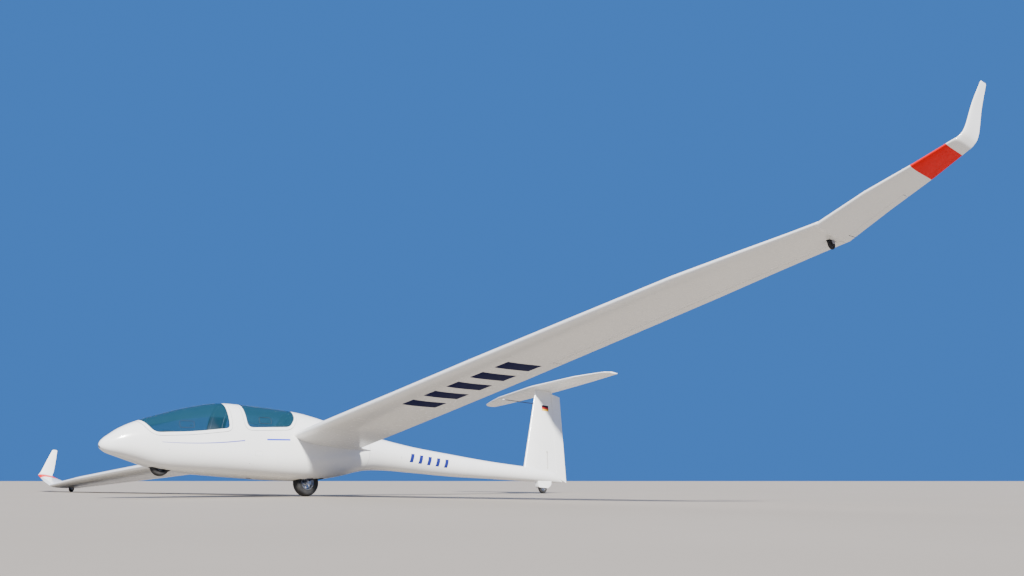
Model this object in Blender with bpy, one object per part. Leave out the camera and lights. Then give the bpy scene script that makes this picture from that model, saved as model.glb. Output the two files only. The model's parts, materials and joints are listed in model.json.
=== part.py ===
"""Two-seat training sailplane with a T-tail, parked on its wheels.

The aircraft is drawn level in its own frame: stations run aft from the nose tip,
y runs to port and z runs up from the nose tip. The empty called airframe then sets
it down on the main wheel, the tail wheel and the starboard wing-tip wheel, with +X
aft, as the stations run, and +Y to starboard.
All sizes are in metres.
"""

import math

import bmesh
import bpy
from mathutils import Matrix, Vector

# Clearances between pieces
TOUCH = 0.0003
RUNNING = 0.0055
PIN_PLAY = 0.0005

# Shell thicknesses
SKIN = 0.010
GLASS = 0.005
FRAME_SKIN = 0.014

# Fuselage: station, half width, lowest z, widest z, highest z
FUSELAGE = (
    (0.00, 0.000, 0.055, 0.055, 0.055),
    (0.10, 0.112, -0.030, 0.080, 0.190),
    (0.25, 0.180, -0.068, 0.115, 0.300),
    (0.45, 0.236, -0.118, 0.130, 0.402),
    (0.75, 0.287, -0.190, 0.130, 0.520),
    (1.15, 0.335, -0.215, 0.110, 0.655),
    (1.55, 0.360, -0.222, 0.090, 0.752),
    (2.00, 0.366, -0.225, 0.080, 0.772),
    (2.45, 0.360, -0.225, 0.090, 0.772),
    (2.85, 0.342, -0.212, 0.120, 0.755),
    (3.20, 0.315, -0.180, 0.165, 0.705),
    (3.60, 0.280, -0.100, 0.235, 0.630),
    (4.00, 0.250, 0.005, 0.285, 0.566),
    (4.40, 0.211, 0.040, 0.272, 0.505),
    (5.00, 0.180, 0.040, 0.240, 0.440),
    (5.80, 0.160, 0.034, 0.211, 0.388),
    (6.60, 0.133, 0.049, 0.196, 0.343),
    (7.40, 0.112, 0.062, 0.188, 0.318),
    (8.00, 0.080, 0.076, 0.185, 0.298),
    (8.30, 0.048, 0.085, 0.165, 0.262),
    (8.43, 0.020, 0.095, 0.107, 0.130),
)
POD_STATIONS = (
    0.003, 0.03, 0.09, 0.17, 0.28, 0.42, 0.60, 0.85, 1.15, 1.50, 1.90, 2.30, 2.65, 2.95, 3.25, 3.60,
)
CAVITY_STATIONS = POD_STATIONS[5:]
CAVITY_FRONT = 0.30
BOOM_JOINT = 3.98
BOOM_STATIONS = (4.3, 4.8, 5.4, 6.2, 7.0, 7.6, 8.00, 8.30, 8.43)
BOOM_CAVITY_STATIONS = BOOM_STATIONS[:6]
FIN_BOOM_STATIONS = BOOM_STATIONS[4:]
HULL_POINTS = 24
ROUND_TOP = 2.1
ROUND_BELLY = 2.4
ROUND_BOOM = 2.0
ROUND_CHANGE = (3.2, 4.0)

# Wing panel: span station, leading edge station, trailing edge station, thickness ratio
WING = (
    (0.376, 2.620, 3.735, 0.165),
    (1.20, 2.600, 3.700, 0.163),
    (2.50, 2.583, 3.637, 0.160),
    (4.00, 2.548, 3.554, 0.156),
    (5.50, 2.531, 3.447, 0.152),
    (7.00, 2.519, 3.334, 0.147),
    (7.75, 2.566, 3.262, 0.144),
    (8.25, 2.605, 3.222, 0.142),
    (8.55, 2.620, 3.205, 0.140),
)
ROOT_RIB = 0.376
TIP_JOINT = 8.55
ROOT_HEIGHT = 0.250
DIHEDRAL_SLOPE = 0.0667
WASHOUT_HEIGHT = 0.100
WASHOUT_SPAN = 12.0
CAMBER = 0.022
TRAILING_HALF = 0.0015
SECTION_STEPS = 11

# Moulded wing root: where it starts inside the pod and how it flares into it
STUB_SPANS = (0.180, 0.270, 0.305, 0.330, 0.352)
STUB_FLARE = 0.062
FLARE_LENGTH = 0.072
FLARE_MOST = 1.6

# Outer tip and winglet: y, z of trailing edge, leading station, trailing station,
# thickness ratio, cant in degrees
TIP = (
    (9.00, 0.975, 2.662, 3.165, 0.135, 8.0),
    (9.43, 1.115, 2.748, 3.135, 0.130, 18.0),
    (9.72, 1.220, 2.805, 3.105, 0.120, 24.0),
    (9.80, 1.275, 2.860, 3.130, 0.110, 50.0),
    (9.845, 1.365, 2.915, 3.165, 0.105, 72.0),
    (9.90, 1.600, 3.025, 3.205, 0.100, 78.0),
    (9.965, 1.815, 3.135, 3.240, 0.095, 78.0),
)
TIP_STRAIGHT_ROWS = 2
TIP_CURVE_STEPS = 2
TIP_TWIST = 0.045

# Ailerons: first and last span station with the hinge station at each
AILERON = ((4.65, 3.360), (8.50, 3.115))
TIP_AILERON = ((8.60, 3.108), (9.16, 3.072))
AILERON_LIMIT = 20.0
SURFACE_NOSE_INSET = 0.001

# Hinged surfaces: how far the volume behind a hinge reaches, and its room
VOLUME_REACH = (0.6, 0.3)
ROOM_REACH = (0.7, 0.4)
NOSE_STEPS = 8

# End pins of hinged surfaces: radius and length
AILERON_PIN = (0.004, 0.030)
TIP_AILERON_PIN = (0.0025, 0.020)
ELEVATOR_PIN = (0.003, 0.025)
PIN_ROOT = 0.020
BORE_ROOT = 0.010
BORE_SPARE = 0.004

# Airbrakes in the upper surface
BRAKE_SPAN = (2.90, 4.30)
BRAKE_STATION = 3.10
BRAKE_SUNK = 0.002
BRAKE_THICKNESS = 0.014
BRAKE_HEIGHT = 0.092
BRAKE_END_MARGIN = 0.025
BRAKE_CAP_WIDTH = 0.046
BRAKE_CAP_DEPTH = 0.004
BRAKE_ROD_RADIUS = 0.0035
BRAKE_ROD_LENGTH = 0.105
BRAKE_ROD_DEPTH = 0.020
BRAKE_ROD_SHARES = (-0.45, 0.45)

# Fin and rudder: z, leading station, trailing station
FIN = ((0.02, 7.405, 8.562), (0.318, 7.490, 8.557), (1.00, 7.684, 8.546), (1.7341, 7.893, 8.532))
FIN_THICKNESS = 0.11
FIN_ROOT_Z = 0.190
RUDDER_AXIS = 8.295
RUDDER_FOOT = 0.050
RUDDER_TOP = 1.700
RUDDER_NOSE = (0.0295, 0.0250)
RUDDER_LIMIT = 30.0
HEEL_SLOPE = ((8.00, 0.273), (8.70, 0.051))
HEEL_GAP = 0.012
CROWN_SLOPE = ((8.10, 1.723), (8.70, 1.651))
RUDDER_PIN_RADIUS = 0.006
RUDDER_LOW_PIN = (0.120, 0.225)
RUDDER_TOP_PIN = (1.720, 1.660)
FIN_END_STATION = 8.315
FIN_END_Z = 1.690

# Tailplane: y, leading station, trailing station
TAILPLANE = (
    (0.00, 7.758, 8.469),
    (0.50, 7.815, 8.452),
    (0.96, 7.868, 8.430),
    (1.30, 7.985, 8.405),
    (1.49, 8.068, 8.385),
    (1.56, 8.150, 8.371),
)
TAILPLANE_Z = 1.774
TAILPLANE_THICKNESS = 0.11
ELEVATOR_AXIS = 8.275
ELEVATOR_HALF_SPAN = 1.46
ELEVATOR_NOSE = (0.0105, 0.0205)
ELEVATOR_LIMIT = 25.0

# Energy probe in front of the fin
PROBE_HEAD = (7.065, 1.463)
PROBE_FOOT_Z = 1.476
PROBE_DEPTH = 0.060
PROBE_RADIUS = 0.0065
PROBE_CAP = (0.009, 0.035, 0.010)

# Wheels: station, z of the axle, tyre radius, tyre width, rim radius, axle radius
MAIN_WHEEL = (3.02, -0.235, 0.190, 0.140, 0.100, 0.0125)
NOSE_WHEEL = (0.81, -0.150, 0.130, 0.085, 0.065, 0.008)
TAIL_WHEEL = (7.93, -0.025, 0.100, 0.052, 0.052, 0.006)
MAIN_SEGMENTS = 24
SMALL_SEGMENTS = 20
WHEEL_ROOM = 0.012
BOX_WALL = 0.006
BEAD_SHARE = 0.72
SHOULDER_SHARE = 0.55
SEAT_SHARE = 0.36
HUB_SHARE = 0.40

# Small wheel under each wing tip: station, y, z, radius, width, axle radius
TIP_WHEEL = (3.025, 8.454, 0.782, 0.055, 0.030, 0.004)
TIP_SHOULDER = 0.012
TIP_LUG = ((-0.020, -0.012), (0.020, -0.012), (0.035, 0.045), (-0.035, 0.045))
TIP_LUG_OFFSET = 0.023
TIP_LUG_HALF = 0.002
TIP_PIN_HALF = 0.024

# Main gear: slot in the belly, box above it and fork
MAIN_SLOT = (2.80, 3.30, 0.100)
MAIN_BOX_WALL = 0.015
MAIN_BOX_TOP = 0.150
MAIN_BOX_ROOF = 0.025
FORK_HALF_LENGTH = 0.035
FORK_HALF_WIDTH = 0.096
FORK_GAP = 0.083
FORK_BRIDGE = 0.030
MAIN_AXLE_HALF = 0.099

# Tail wheel fairing: side view about the axle's station, with its corners' rounding
FAIRING = (
    (-0.135, -0.028, 0.030),
    (0.105, -0.034, 0.020),
    (0.190, 0.030, 0.030),
    (0.210, 0.160, 0.001),
    (-0.150, 0.160, 0.001),
)
FAIRING_WALL = 0.008
FAIRING_ROOM = 0.007
FAIRING_LUG = ((-0.018, -0.018), (0.018, -0.018), (0.030, 0.030), (-0.030, 0.030))

# Bracket beside the main wheel: first and last station, y from and to, depth below the skin
BRACKET_BAR = (2.965, 3.062, 0.108, 0.124, 0.006)
BRACKET_STEM = (3.004, 3.022, 0.1085, 0.1235, 0.024)
BRACKET_ROOT = 0.060

# Canopy openings in side view: station, z and how far from each corner its rounding starts
CANOPY_TOP = 0.90
FRONT_OPENING = (
    (0.365, 0.46, 0.08),
    (0.57, 0.175, 0.13),
    (1.09, 0.222, 0.24),
    (1.655, 0.325, 0.10),
    (1.65, CANOPY_TOP, 0.01),
    (0.365, CANOPY_TOP, 0.01),
)
REAR_OPENING = (
    (1.81, CANOPY_TOP, 0.01),
    (1.83, 0.345, 0.14),
    (2.58, 0.430, 0.12),
    (2.71, 0.600, 0.10),
    (2.76, CANOPY_TOP, 0.01),
)
HIGHEST_SILL = 0.5
FRONT_HINGES = (0.80, 1.50)
REAR_HINGES = (1.95, 2.45)
CANOPY_REACH = (0.15, 3.2)
FRAME_WIDTH = 0.042
SMALLEST_ROUNDING = 0.005
ARC_STEPS = 4

# Canopy hinges: half round leaves with a web into the skin
HINGE_OFF = 0.016
HINGE_RISE = 0.002
KNUCKLE = 0.008
WEB_SHARE = 0.7
LEAF_LENGTH = 0.030
LEAF_GAP = 0.0006
LEAF_IN = 0.021
LEAF_DOWN = 0.022
HINGE_PIN = 0.004
HINGE_PIN_ENDS = (0.010, 0.022)
HINGE_BORE_ENDS = (0.002, 0.026)

# Seats: station and height of the upper face, from the knees to the shoulders
SEAT_ROUTE = (
    (1.060, -0.014), (1.180, -0.062), (1.300, -0.106), (1.370, -0.117), (1.430, -0.108), (1.485, -0.060),
    (1.520, 0.030), (1.560, 0.150), (1.595, 0.250), (1.622, 0.330),
)
SEATS = (("front", 0.0, 0.25), ("rear", 1.06, 0.26))
SEAT_STEPS = 24
SHELL_DEPTH = 0.012
LIP = 0.030
LIP_START = 0.8
SHOULDER_NARROWING = 0.18
NARROWING_START = 0.6
SEAT_RIBS = ((1.12, -0.052), (1.36, -0.123))
RIB_LENGTH = 0.020
RIB_HALF_WIDTH = 0.20

# Cushions: name, first and last step of the seat, half width, thickness
CUSHIONS = (
    ("seat_cushion", 1, 11, 0.185, 0.038),
    ("back_cushion", 13, 21, 0.160, 0.030),
    ("headrest", 22, 24, 0.100, 0.058),
)
CUSHION_EDGE = 0.45
CUSHION_SECTION = ((-1.0, 0.0), (-1.0, 0.55), (-0.8, 0.9), (0.0, 1.0), (0.8, 0.9), (1.0, 0.55), (1.0, 0.0))

# Sticks and pedals of both seats. A stick's tube, grip and boot: shift aft, z and radius at both ends
STICK_STATIONS = {"front": 1.010, "rear": 1.970}
PEDAL_STATIONS = {"front": 0.62, "rear": 1.81}
BELOW_FLOOR = -0.30
STICK = (
    ((0.0, BELOW_FLOOR, 0.010), (0.020, 0.10, 0.010)),
    ((0.019, 0.07, 0.017), (0.030, 0.20, 0.015)),
    ((0.0, BELOW_FLOOR, 0.045), (0.0, -0.12, 0.014)),
)
PEDAL_BAR_Z = -0.060
PEDAL_BAR_HALF = 0.170
PEDAL_PLATE_Y = 0.115
PEDAL_PLATE_HALF = 0.038
PEDAL_PLATE_ENDS = (-0.100, 0.080)
PEDAL_LEG_Y = 0.160
PEDAL_LEG_HALF = 0.008

# Instrument panels: station of the face, height of the top
PANELS = {"front": (0.900, 0.300), "rear": (1.770, 0.400)}
PANEL_DEPTH = 0.100
PANEL_HALF_WIDTH = 0.200
PANEL_TOP_HALF = 0.120
PANEL_BOTTOM = 0.060
PANEL_SHOULDER = 0.080
COLUMN_HALF_WIDTH = 0.060
COLUMN_DEPTH = (0.085, 0.015)
COLUMN_TOP = 0.100
BULKHEAD = (2.770, 2.783)

# Tow hooks
BELLY_HOOK = (2.060, 2.130, 0.022)
BELLY_HOOK_HEIGHTS = (0.004, 0.080)
BELLY_MOUTH = (2.075, 2.112, 0.008, 0.040)
NOSE_HOOK_Z = 0.035
NOSE_HOOK_ENDS = (0.020, 0.075)
NOSE_HOOK_RADIUS = 0.016
NOSE_MOUTH = (0.045, 0.008)

for leftover in list(bpy.data.objects):
    bpy.data.objects.remove(leftover, do_unlink=True)

PARTS = bpy.data.collections.new("sailplane")
CUTTERS = bpy.data.collections.new("cutters")
bpy.context.scene.collection.children.link(PARTS)
bpy.context.scene.collection.children.link(CUTTERS)


def material(name, colour, roughness, metallic=0.0, alpha=1.0):
    """Make one Principled material."""
    made = bpy.data.materials.new(name)
    made.use_nodes = True
    shader = made.node_tree.nodes["Principled BSDF"]
    shader.inputs["Base Color"].default_value = (*colour, 1.0)
    shader.inputs["Roughness"].default_value = roughness
    shader.inputs["Metallic"].default_value = metallic
    shader.inputs["Alpha"].default_value = alpha
    return made


GELCOAT = material("gelcoat", (0.86, 0.86, 0.84), 0.25)
CLEAR = material("canopy_glass", (0.35, 0.50, 0.52), 0.05, alpha=0.35)
TYRE = material("tyre", (0.02, 0.02, 0.02), 0.80)
RIM = material("rim", (0.55, 0.56, 0.58), 0.40, metallic=0.9)
STEEL = material("steel", (0.35, 0.36, 0.38), 0.35, metallic=1.0)
LINING = material("lining", (0.30, 0.31, 0.33), 0.70)
PANEL = material("panel", (0.03, 0.03, 0.035), 0.60)
GRIP = material("grip", (0.02, 0.02, 0.02), 0.65)
CLOTH = material("cloth", (0.05, 0.09, 0.20), 0.90)


def at(station, y, z):
    """Give the point at a station aft of the nose tip."""
    return Vector((-station, y, z))


AFT = Vector((-1.0, 0.0, 0.0))
PORT = Vector((0.0, 1.0, 0.0))
UP = Vector((0.0, 0.0, 1.0))

airframe = bpy.data.objects.new("airframe", None)
PARTS.objects.link(airframe)


def place(name, mesh, finish, parent=airframe):
    """Put a mesh into the model as one sub-part, turning with its parent empty."""
    piece = bpy.data.objects.new(name, mesh)
    PARTS.objects.link(piece)
    mesh.materials.clear()
    mesh.materials.append(finish)
    mesh.shade_smooth()
    mesh.set_sharp_from_angle(angle=math.radians(35.0))
    piece.parent = parent
    if parent is not airframe:
        piece.matrix_parent_inverse = parent.matrix_basis.inverted()
    return piece


def guide(mesh):
    """Put a mesh into the model as a cutter, which is left out of the parts."""
    tool = bpy.data.objects.new(mesh.name, mesh)
    CUTTERS.objects.link(tool)
    tool.parent = airframe
    tool.hide_render = True
    tool.display_type = "WIRE"
    return tool


def boolean(target, tools, operation):
    """Add one exact Boolean modifier for each tool, a mesh or an object."""
    for tool in tools:
        if isinstance(tool, bpy.types.Mesh):
            tool = guide(tool)
        step = target.modifiers.new(tool.name, "BOOLEAN")
        step.operation = operation
        step.solver = "EXACT"
        step.object = tool
    return target


def cut(target, *tools):
    """Take each tool's volume out of the target."""
    return boolean(target, tools, "DIFFERENCE")


def join(target, *tools):
    """Add each tool's volume to the target."""
    return boolean(target, tools, "UNION")


def keep(target, *tools):
    """Keep only what lies inside each tool."""
    return boolean(target, tools, "INTERSECT")


def hinge_empty(name, point, axis):
    """Make the empty that a moving piece turns or slides with, its Z along the axis."""
    empty = bpy.data.objects.new(name, None)
    PARTS.objects.link(empty)
    turn = UP.rotation_difference(axis.normalized()).to_matrix().to_4x4()
    empty.parent = airframe
    empty.matrix_basis = Matrix.Translation(point) @ turn
    return empty


def to_mesh(name, bm):
    """Close a bmesh into mesh data with its faces pointing out."""
    bmesh.ops.recalc_face_normals(bm, faces=bm.faces)
    bmesh.ops.triangulate(bm, faces=bm.faces)
    mesh = bpy.data.meshes.new(name)
    bm.to_mesh(mesh)
    bm.free()
    return mesh


def loft(name, rings):
    """Skin rings of equal count into one closed mesh, capped at both ends."""
    bm = bmesh.new()
    made = [[bm.verts.new(point) for point in ring] for ring in rings]
    count = len(rings[0])
    for near, far in zip(made, made[1:]):
        for i in range(count):
            j = (i + 1) % count
            bm.faces.new((near[i], near[j], far[j], far[i]))
    bm.faces.new(made[0])
    bm.faces.new(made[-1])
    return to_mesh(name, bm)


def prism(name, outline, near_y, far_y):
    """Extrude a side-view outline of stations and heights across the aircraft."""
    return loft(name, [[at(station, y, z) for station, z in outline] for y in (near_y, far_y)])


def block(name, size, matrix):
    """Make a box of a size, set about a middle and axes given by a matrix."""
    bm = bmesh.new()
    bmesh.ops.create_cube(bm, size=1.0)
    bmesh.ops.scale(bm, vec=size, verts=bm.verts)
    bmesh.ops.transform(bm, matrix=matrix, verts=bm.verts)
    return to_mesh(name, bm)


def box(name, low, high):
    """Make a box from its lowest and highest corners as stations, y and z."""
    size = [high[i] - low[i] for i in range(3)]
    middle = at(*[(low[i] + high[i]) / 2.0 for i in range(3)])
    return block(name, size, Matrix.Translation(middle))


def rod(name, start, end, start_radius, end_radius=None, segments=12):
    """Make a cylinder or a cone between two points."""
    end_radius = start_radius if end_radius is None else end_radius
    axis = end - start
    bm = bmesh.new()
    bmesh.ops.create_cone(
        bm, cap_ends=True, segments=segments, radius1=start_radius, radius2=end_radius, depth=axis.length
    )
    turn = UP.rotation_difference(axis.normalized()).to_matrix().to_4x4()
    bmesh.ops.transform(bm, matrix=Matrix.Translation((start + end) / 2.0) @ turn, verts=bm.verts)
    return to_mesh(name, bm)


def turned(name, centre, profile, segments):
    """Turn a closed profile of radius and offset to port into a ring-shaped mesh."""
    bm = bmesh.new()
    loops = []
    for i in range(segments):
        angle = math.tau * i / segments
        outward = AFT * math.cos(angle) + UP * math.sin(angle)
        points = [centre + outward * radius + PORT * offset for radius, offset in profile]
        loops.append([bm.verts.new(point) for point in points])
    for i, near in enumerate(loops):
        far = loops[(i + 1) % segments]
        for j in range(len(profile)):
            k = (j + 1) % len(profile)
            bm.faces.new((near[j], near[k], far[k], far[j]))
    return to_mesh(name, bm)


def inset(outline, distance):
    """Move each side of a closed outline inwards and meet them again at the corners."""
    sides = list(zip(outline, outline[1:] + outline[:1]))
    sign = math.copysign(1.0, sum(a[0] * b[1] - b[0] * a[1] for a, b in sides))
    lines = []
    for a, b in sides:
        run = Vector((b[0] - a[0], b[1] - a[1])).normalized()
        inward = Vector((-run.y, run.x)) * sign
        lines.append((Vector(a) + inward * distance, run))
    corners = []
    for (p, d), (q, e) in zip(lines[-1:] + lines[:-1], lines):
        share = ((q.x - p.x) * e.y - (q.y - p.y) * e.x) / (d.x * e.y - d.y * e.x)
        corners.append(tuple(p + d * share))
    return corners


def rounded(outline, reaches):
    """Round each corner of a closed outline with a curve that starts so far from it."""
    points = []
    for i, reach in enumerate(reaches):
        corner = Vector(outline[i])
        before = Vector(outline[i - 1]) - corner
        after = Vector(outline[(i + 1) % len(outline)]) - corner
        reach = min(reach, before.length * 0.48, after.length * 0.48)
        start = corner + before.normalized() * reach
        end = corner + after.normalized() * reach
        for k in range(ARC_STEPS + 1):
            t = k / ARC_STEPS
            points.append(tuple(start * (1 - t) ** 2 + corner * 2 * t * (1 - t) + end * t**2))
    return points


def smooth(a, b, c, d, t):
    """Give the value at a share between b and c of a smooth curve through four values."""
    return 0.5 * (2 * b + (c - a) * t + (2 * a - 5 * b + 4 * c - d) * t**2 + (3 * b - a - 3 * c + d) * t**3)


def hull_section(station):
    """Read the fuselage table smoothly: a cubic through its rows, in the square root of the station."""
    rows = FUSELAGE
    knots = [math.sqrt(row[0]) for row in rows]
    here = math.sqrt(station)
    last = len(rows) - 1
    i = max(k for k in range(last) if knots[k] <= here)
    width = knots[i + 1] - knots[i]
    t = (here - knots[i]) / width

    def slope(k, column):
        before, after = max(k - 1, 0), min(k + 1, last)
        return (rows[after][column] - rows[before][column]) / (knots[after] - knots[before])

    return [
        rows[i][column] * (2 * t**3 - 3 * t**2 + 1)
        + rows[i + 1][column] * (3 * t**2 - 2 * t**3)
        + width * slope(i, column) * (t**3 - 2 * t**2 + t)
        + width * slope(i + 1, column) * (t**3 - t**2)
        for column in range(1, 5)
    ]


def hull_ring(station, inwards=0.0):
    """Give one fuselage section, moved inwards by a distance."""
    half_width, low, widest, high = hull_section(station)
    first, last = ROUND_CHANGE
    aft_share = min(max((station - first) / (last - first), 0.0), 1.0)
    belly_power = 2.0 / (ROUND_BELLY + (ROUND_BOOM - ROUND_BELLY) * aft_share)
    top_power = 2.0 / (ROUND_TOP + (ROUND_BOOM - ROUND_TOP) * aft_share)
    ring = []
    for i in range(HULL_POINTS):
        angle = math.tau * i / HULL_POINTS
        across, rise = math.cos(angle), math.sin(angle)
        above = rise >= 0.0
        power = top_power if above else belly_power
        reach = (high - widest if above else widest - low) - inwards
        y = math.copysign(abs(across) ** power, across) * (half_width - inwards)
        z = widest + math.copysign(abs(rise) ** power, rise) * reach
        ring.append(at(station, y, z))
    return ring


def hull(name, stations, inwards=0.0):
    """Loft the fuselage over the given stations."""
    return loft(name, [hull_ring(station, inwards) for station in stations])


def half_thickness(u, thickness):
    """Give half the section's thickness at a share of the chord."""
    shape = 0.2969 * math.sqrt(u) - 0.1260 * u - 0.3516 * u**2 + 0.2843 * u**3 - 0.1036 * u**4
    return 5.0 * thickness * shape


def section_ring(leading, trailing, thickness, camber, up):
    """Give one wing section as a ring, over the top to the leading edge and back below."""
    chord = trailing - leading
    length = chord.length
    shares = [0.5 * (1.0 + math.cos(math.pi * i / SECTION_STEPS)) for i in range(SECTION_STEPS + 1)]
    ring = []
    for side, steps in ((1.0, shares), (-1.0, shares[-2::-1])):
        for u in steps:
            half = half_thickness(u, thickness) * length + TRAILING_HALF * u
            middle = camber * 4.0 * u * (1.0 - u) * length
            ring.append(leading + chord * u + up * (middle + side * half))
    return ring


def wing_row(y):
    """Read the wing table at a span station: leading and trailing points, thickness."""
    i = max(k for k in range(len(WING) - 1) if WING[k][0] <= y)
    share = (y - WING[i][0]) / (WING[i + 1][0] - WING[i][0])
    leading, trailing, thickness = (
        WING[i][column] + share * (WING[i + 1][column] - WING[i][column]) for column in (1, 2, 3)
    )
    low = ROOT_HEIGHT + DIHEDRAL_SLOPE * y
    high = low + WASHOUT_HEIGHT * (1.0 - y / WASHOUT_SPAN)
    return at(leading, y, high), at(trailing, y, low), thickness


def tip_table():
    """Give the tip's rows, led by the one at the panel joint."""
    leading, trailing, thickness = wing_row(TIP_JOINT)
    return [(TIP_JOINT, trailing.z, -leading.x, -trailing.x, thickness, 0.0), *TIP]


def tip_section(y):
    """Give a tip section in front of the bend as leading and trailing points and thickness."""
    rows = tip_table()
    i = max(k for k in range(len(rows) - 1) if rows[k][0] <= y)
    share = (y - rows[i][0]) / (rows[i + 1][0] - rows[i][0])
    y, z, leading, trailing, thickness, _ = (a + share * (b - a) for a, b in zip(rows[i], rows[i + 1]))
    return at(leading, y, z + TIP_TWIST * (trailing - leading)), at(trailing, y, z), thickness


def tip_rows():
    """Give the tip's rows with a smooth curve through the bend and the winglet."""
    rows = tip_table()
    last = len(rows) - 1
    made = rows[1:TIP_STRAIGHT_ROWS]
    for i in range(TIP_STRAIGHT_ROWS, last):
        corners = [rows[min(max(k, TIP_STRAIGHT_ROWS), last)] for k in (i - 1, i, i + 1, i + 2)]
        for step in range(TIP_CURVE_STEPS):
            t = step / TIP_CURVE_STEPS
            made.append([smooth(a, b, c, d, t) for a, b, c, d in zip(*corners)])
    return [*made, rows[-1]]


def tip_ring(row):
    """Give one section of the outer tip or winglet."""
    y, z, leading, trailing, thickness, cant = row
    up = Vector((0.0, -math.sin(math.radians(cant)), math.cos(math.radians(cant))))
    rise = TIP_TWIST * (trailing - leading)
    return section_ring(at(leading, y, z) + up * rise, at(trailing, y, z), thickness, CAMBER, up)


def surface_point(section, station, side):
    """Give the point on a section's upper (1), lower (-1) or middle (0) line, and half its thickness."""
    leading, trailing, thickness = section
    chord = trailing - leading
    u = (station + leading.x) / (leading.x - trailing.x)
    half = half_thickness(u, thickness) * chord.length + TRAILING_HALF * u
    middle = CAMBER * 4.0 * u * (1.0 - u) * chord.length
    return leading + chord * u + UP * (middle + side * half), half


def on_side(points, side):
    """Put points on the given side, 1 for port and -1 for starboard."""
    return [Vector((p.x, p.y * side, p.z)) for p in points]


def hinge_volume(name, points, thick, reaches, swing=None):
    """Give the volume behind a hinge line with a round nose in front of it.

    points are pairs of an axis point and a nose radius. With a swing in degrees the
    nose and the ends grow so that the surface clears them when it turns that far.
    """
    aft_reach, height = reaches
    axis = (points[-1][0] - points[0][0]).normalized()
    aft = (AFT - axis * AFT.dot(axis)).normalized()
    side = axis.cross(aft)
    if side.dot(thick) < 0.0:
        side = -side
    rings = []
    for i, (point, radius) in enumerate(points):
        centre = point
        if swing is not None:
            radius = radius / math.cos(math.radians(swing)) + RUNNING
            centre = point + axis * {0: -RUNNING, len(points) - 1: RUNNING}.get(i, 0.0)
        ring = [centre + aft * aft_reach + side * height, centre + side * height]
        for k in range(NOSE_STEPS + 1):
            angle = math.pi * (0.5 + k / NOSE_STEPS)
            ring.append(centre + aft * (radius * math.cos(angle)) + side * (radius * math.sin(angle)))
        ring += [centre - side * height, centre + aft * aft_reach - side * height]
        rings.append(ring)
    return loft(name, rings)


def end_pins(name, fixed, moving, points, pin):
    """Carry a hinged surface on a pin at each end of its hinge line."""
    radius, length = pin
    axis = (points[-1][0] - points[0][0]).normalized()
    for label, end, inward in (("a", points[0][0], axis), ("b", points[-1][0], -axis)):
        join(fixed, rod(f"{name}_pin_{label}", end - inward * PIN_ROOT, end + inward * length, radius))
        bore_end = end + inward * (length + BORE_SPARE)
        cut(moving, rod(f"{name}_bore_{label}", end - inward * BORE_ROOT, bore_end, radius + PIN_PLAY))


def build_surface(name, fixed, rings, points, limit, thick, pin):
    """Cut a hinged surface out of a lofted panel and hang it on its end pins."""
    axis = points[-1][0] - points[0][0]
    if axis.dot(PORT) < 0.0:
        axis = -axis
    empty = hinge_empty(f"hinge_{name}", points[0][0], axis)
    surface = place(name, loft(name, rings), GELCOAT, empty)
    keep(surface, hinge_volume(f"{name}_volume", points, thick, VOLUME_REACH))
    cut(fixed, hinge_volume(f"{name}_room", points, thick, ROOM_REACH, limit))
    end_pins(name, fixed, surface, points, pin)


def opening_edge(opening, distance=0.0):
    """Give a canopy opening's outline moved inwards, its corners rounded to match."""
    corners = [(station, z) for station, z, _ in opening]
    reaches = [max(reach - distance, SMALLEST_ROUNDING) for _, _, reach in opening]
    return rounded(inset(corners, distance), reaches)


def sill_height(opening, station):
    """Give the height of an opening's lower edge."""
    low = [(s, z) for s, z, _ in opening if z < HIGHEST_SILL]
    for a, b in zip(low, low[1:]):
        if a[0] <= station <= b[0]:
            return a[1] + (b[1] - a[1]) * (station - a[0]) / (b[0] - a[0])
    return low[-1][1]


def canopy_hinge_centres(opening, stations):
    """Give the hinge centres just outside the starboard sill."""
    centres = []
    for station in stations:
        z = sill_height(opening, station)
        half_width, _, widest, high = hull_section(station)
        y = half_width * (1.0 - ((z - widest) / (high - widest)) ** ROUND_TOP) ** (1.0 / ROUND_TOP)
        centres.append(at(station, -(y + HINGE_OFF), z + HINGE_RISE))
    return centres


def hinge_leaf(name, start, end, root):
    """Give one half of a hinge: round about the axis, with a web that roots in the skin."""
    axis = (end - start).normalized()
    towards = root.normalized()
    beside = axis.cross(towards)
    rings = []
    for centre in (start, end):
        ring = []
        for k in range(5):
            angle = math.pi * (0.5 + k / 4.0)
            ring.append(centre + (towards * math.cos(angle) + beside * math.sin(angle)) * KNUCKLE)
        web = beside * KNUCKLE * WEB_SHARE
        ring += [centre + root - web, centre + root + web]
        rings.append(ring)
    return guide(loft(name, rings))


def build_canopy_hinges(label, pod, frame, centres):
    """Make two knuckled hinges: a lug with a pin on the fuselage, an eye on the frame."""
    axis = (centres[1] - centres[0]).normalized()
    inward = (PORT - axis * axis.dot(PORT)).normalized()
    down = -(UP - axis * axis.dot(UP) - inward * inward.dot(UP)).normalized()
    for number, centre in enumerate(centres):
        name = f"{label}_hinge_{number}"
        near, far = axis * LEAF_GAP, axis * LEAF_LENGTH
        lug = hinge_leaf(f"{name}_lug", centre - far, centre - near, inward * LEAF_IN + down * LEAF_DOWN)
        back, front = HINGE_PIN_ENDS
        join(lug, rod(f"{name}_pin", centre - axis * back, centre + axis * front, HINGE_PIN))
        join(pod, lug)
        eye = hinge_leaf(f"{name}_eye", centre + near, centre + far, inward * LEAF_IN - down * LEAF_DOWN)
        back, front = HINGE_BORE_ENDS
        cut(eye, rod(f"{name}_bore", centre - axis * back, centre + axis * front, HINGE_PIN + PIN_PLAY))
        join(frame, eye)


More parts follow.
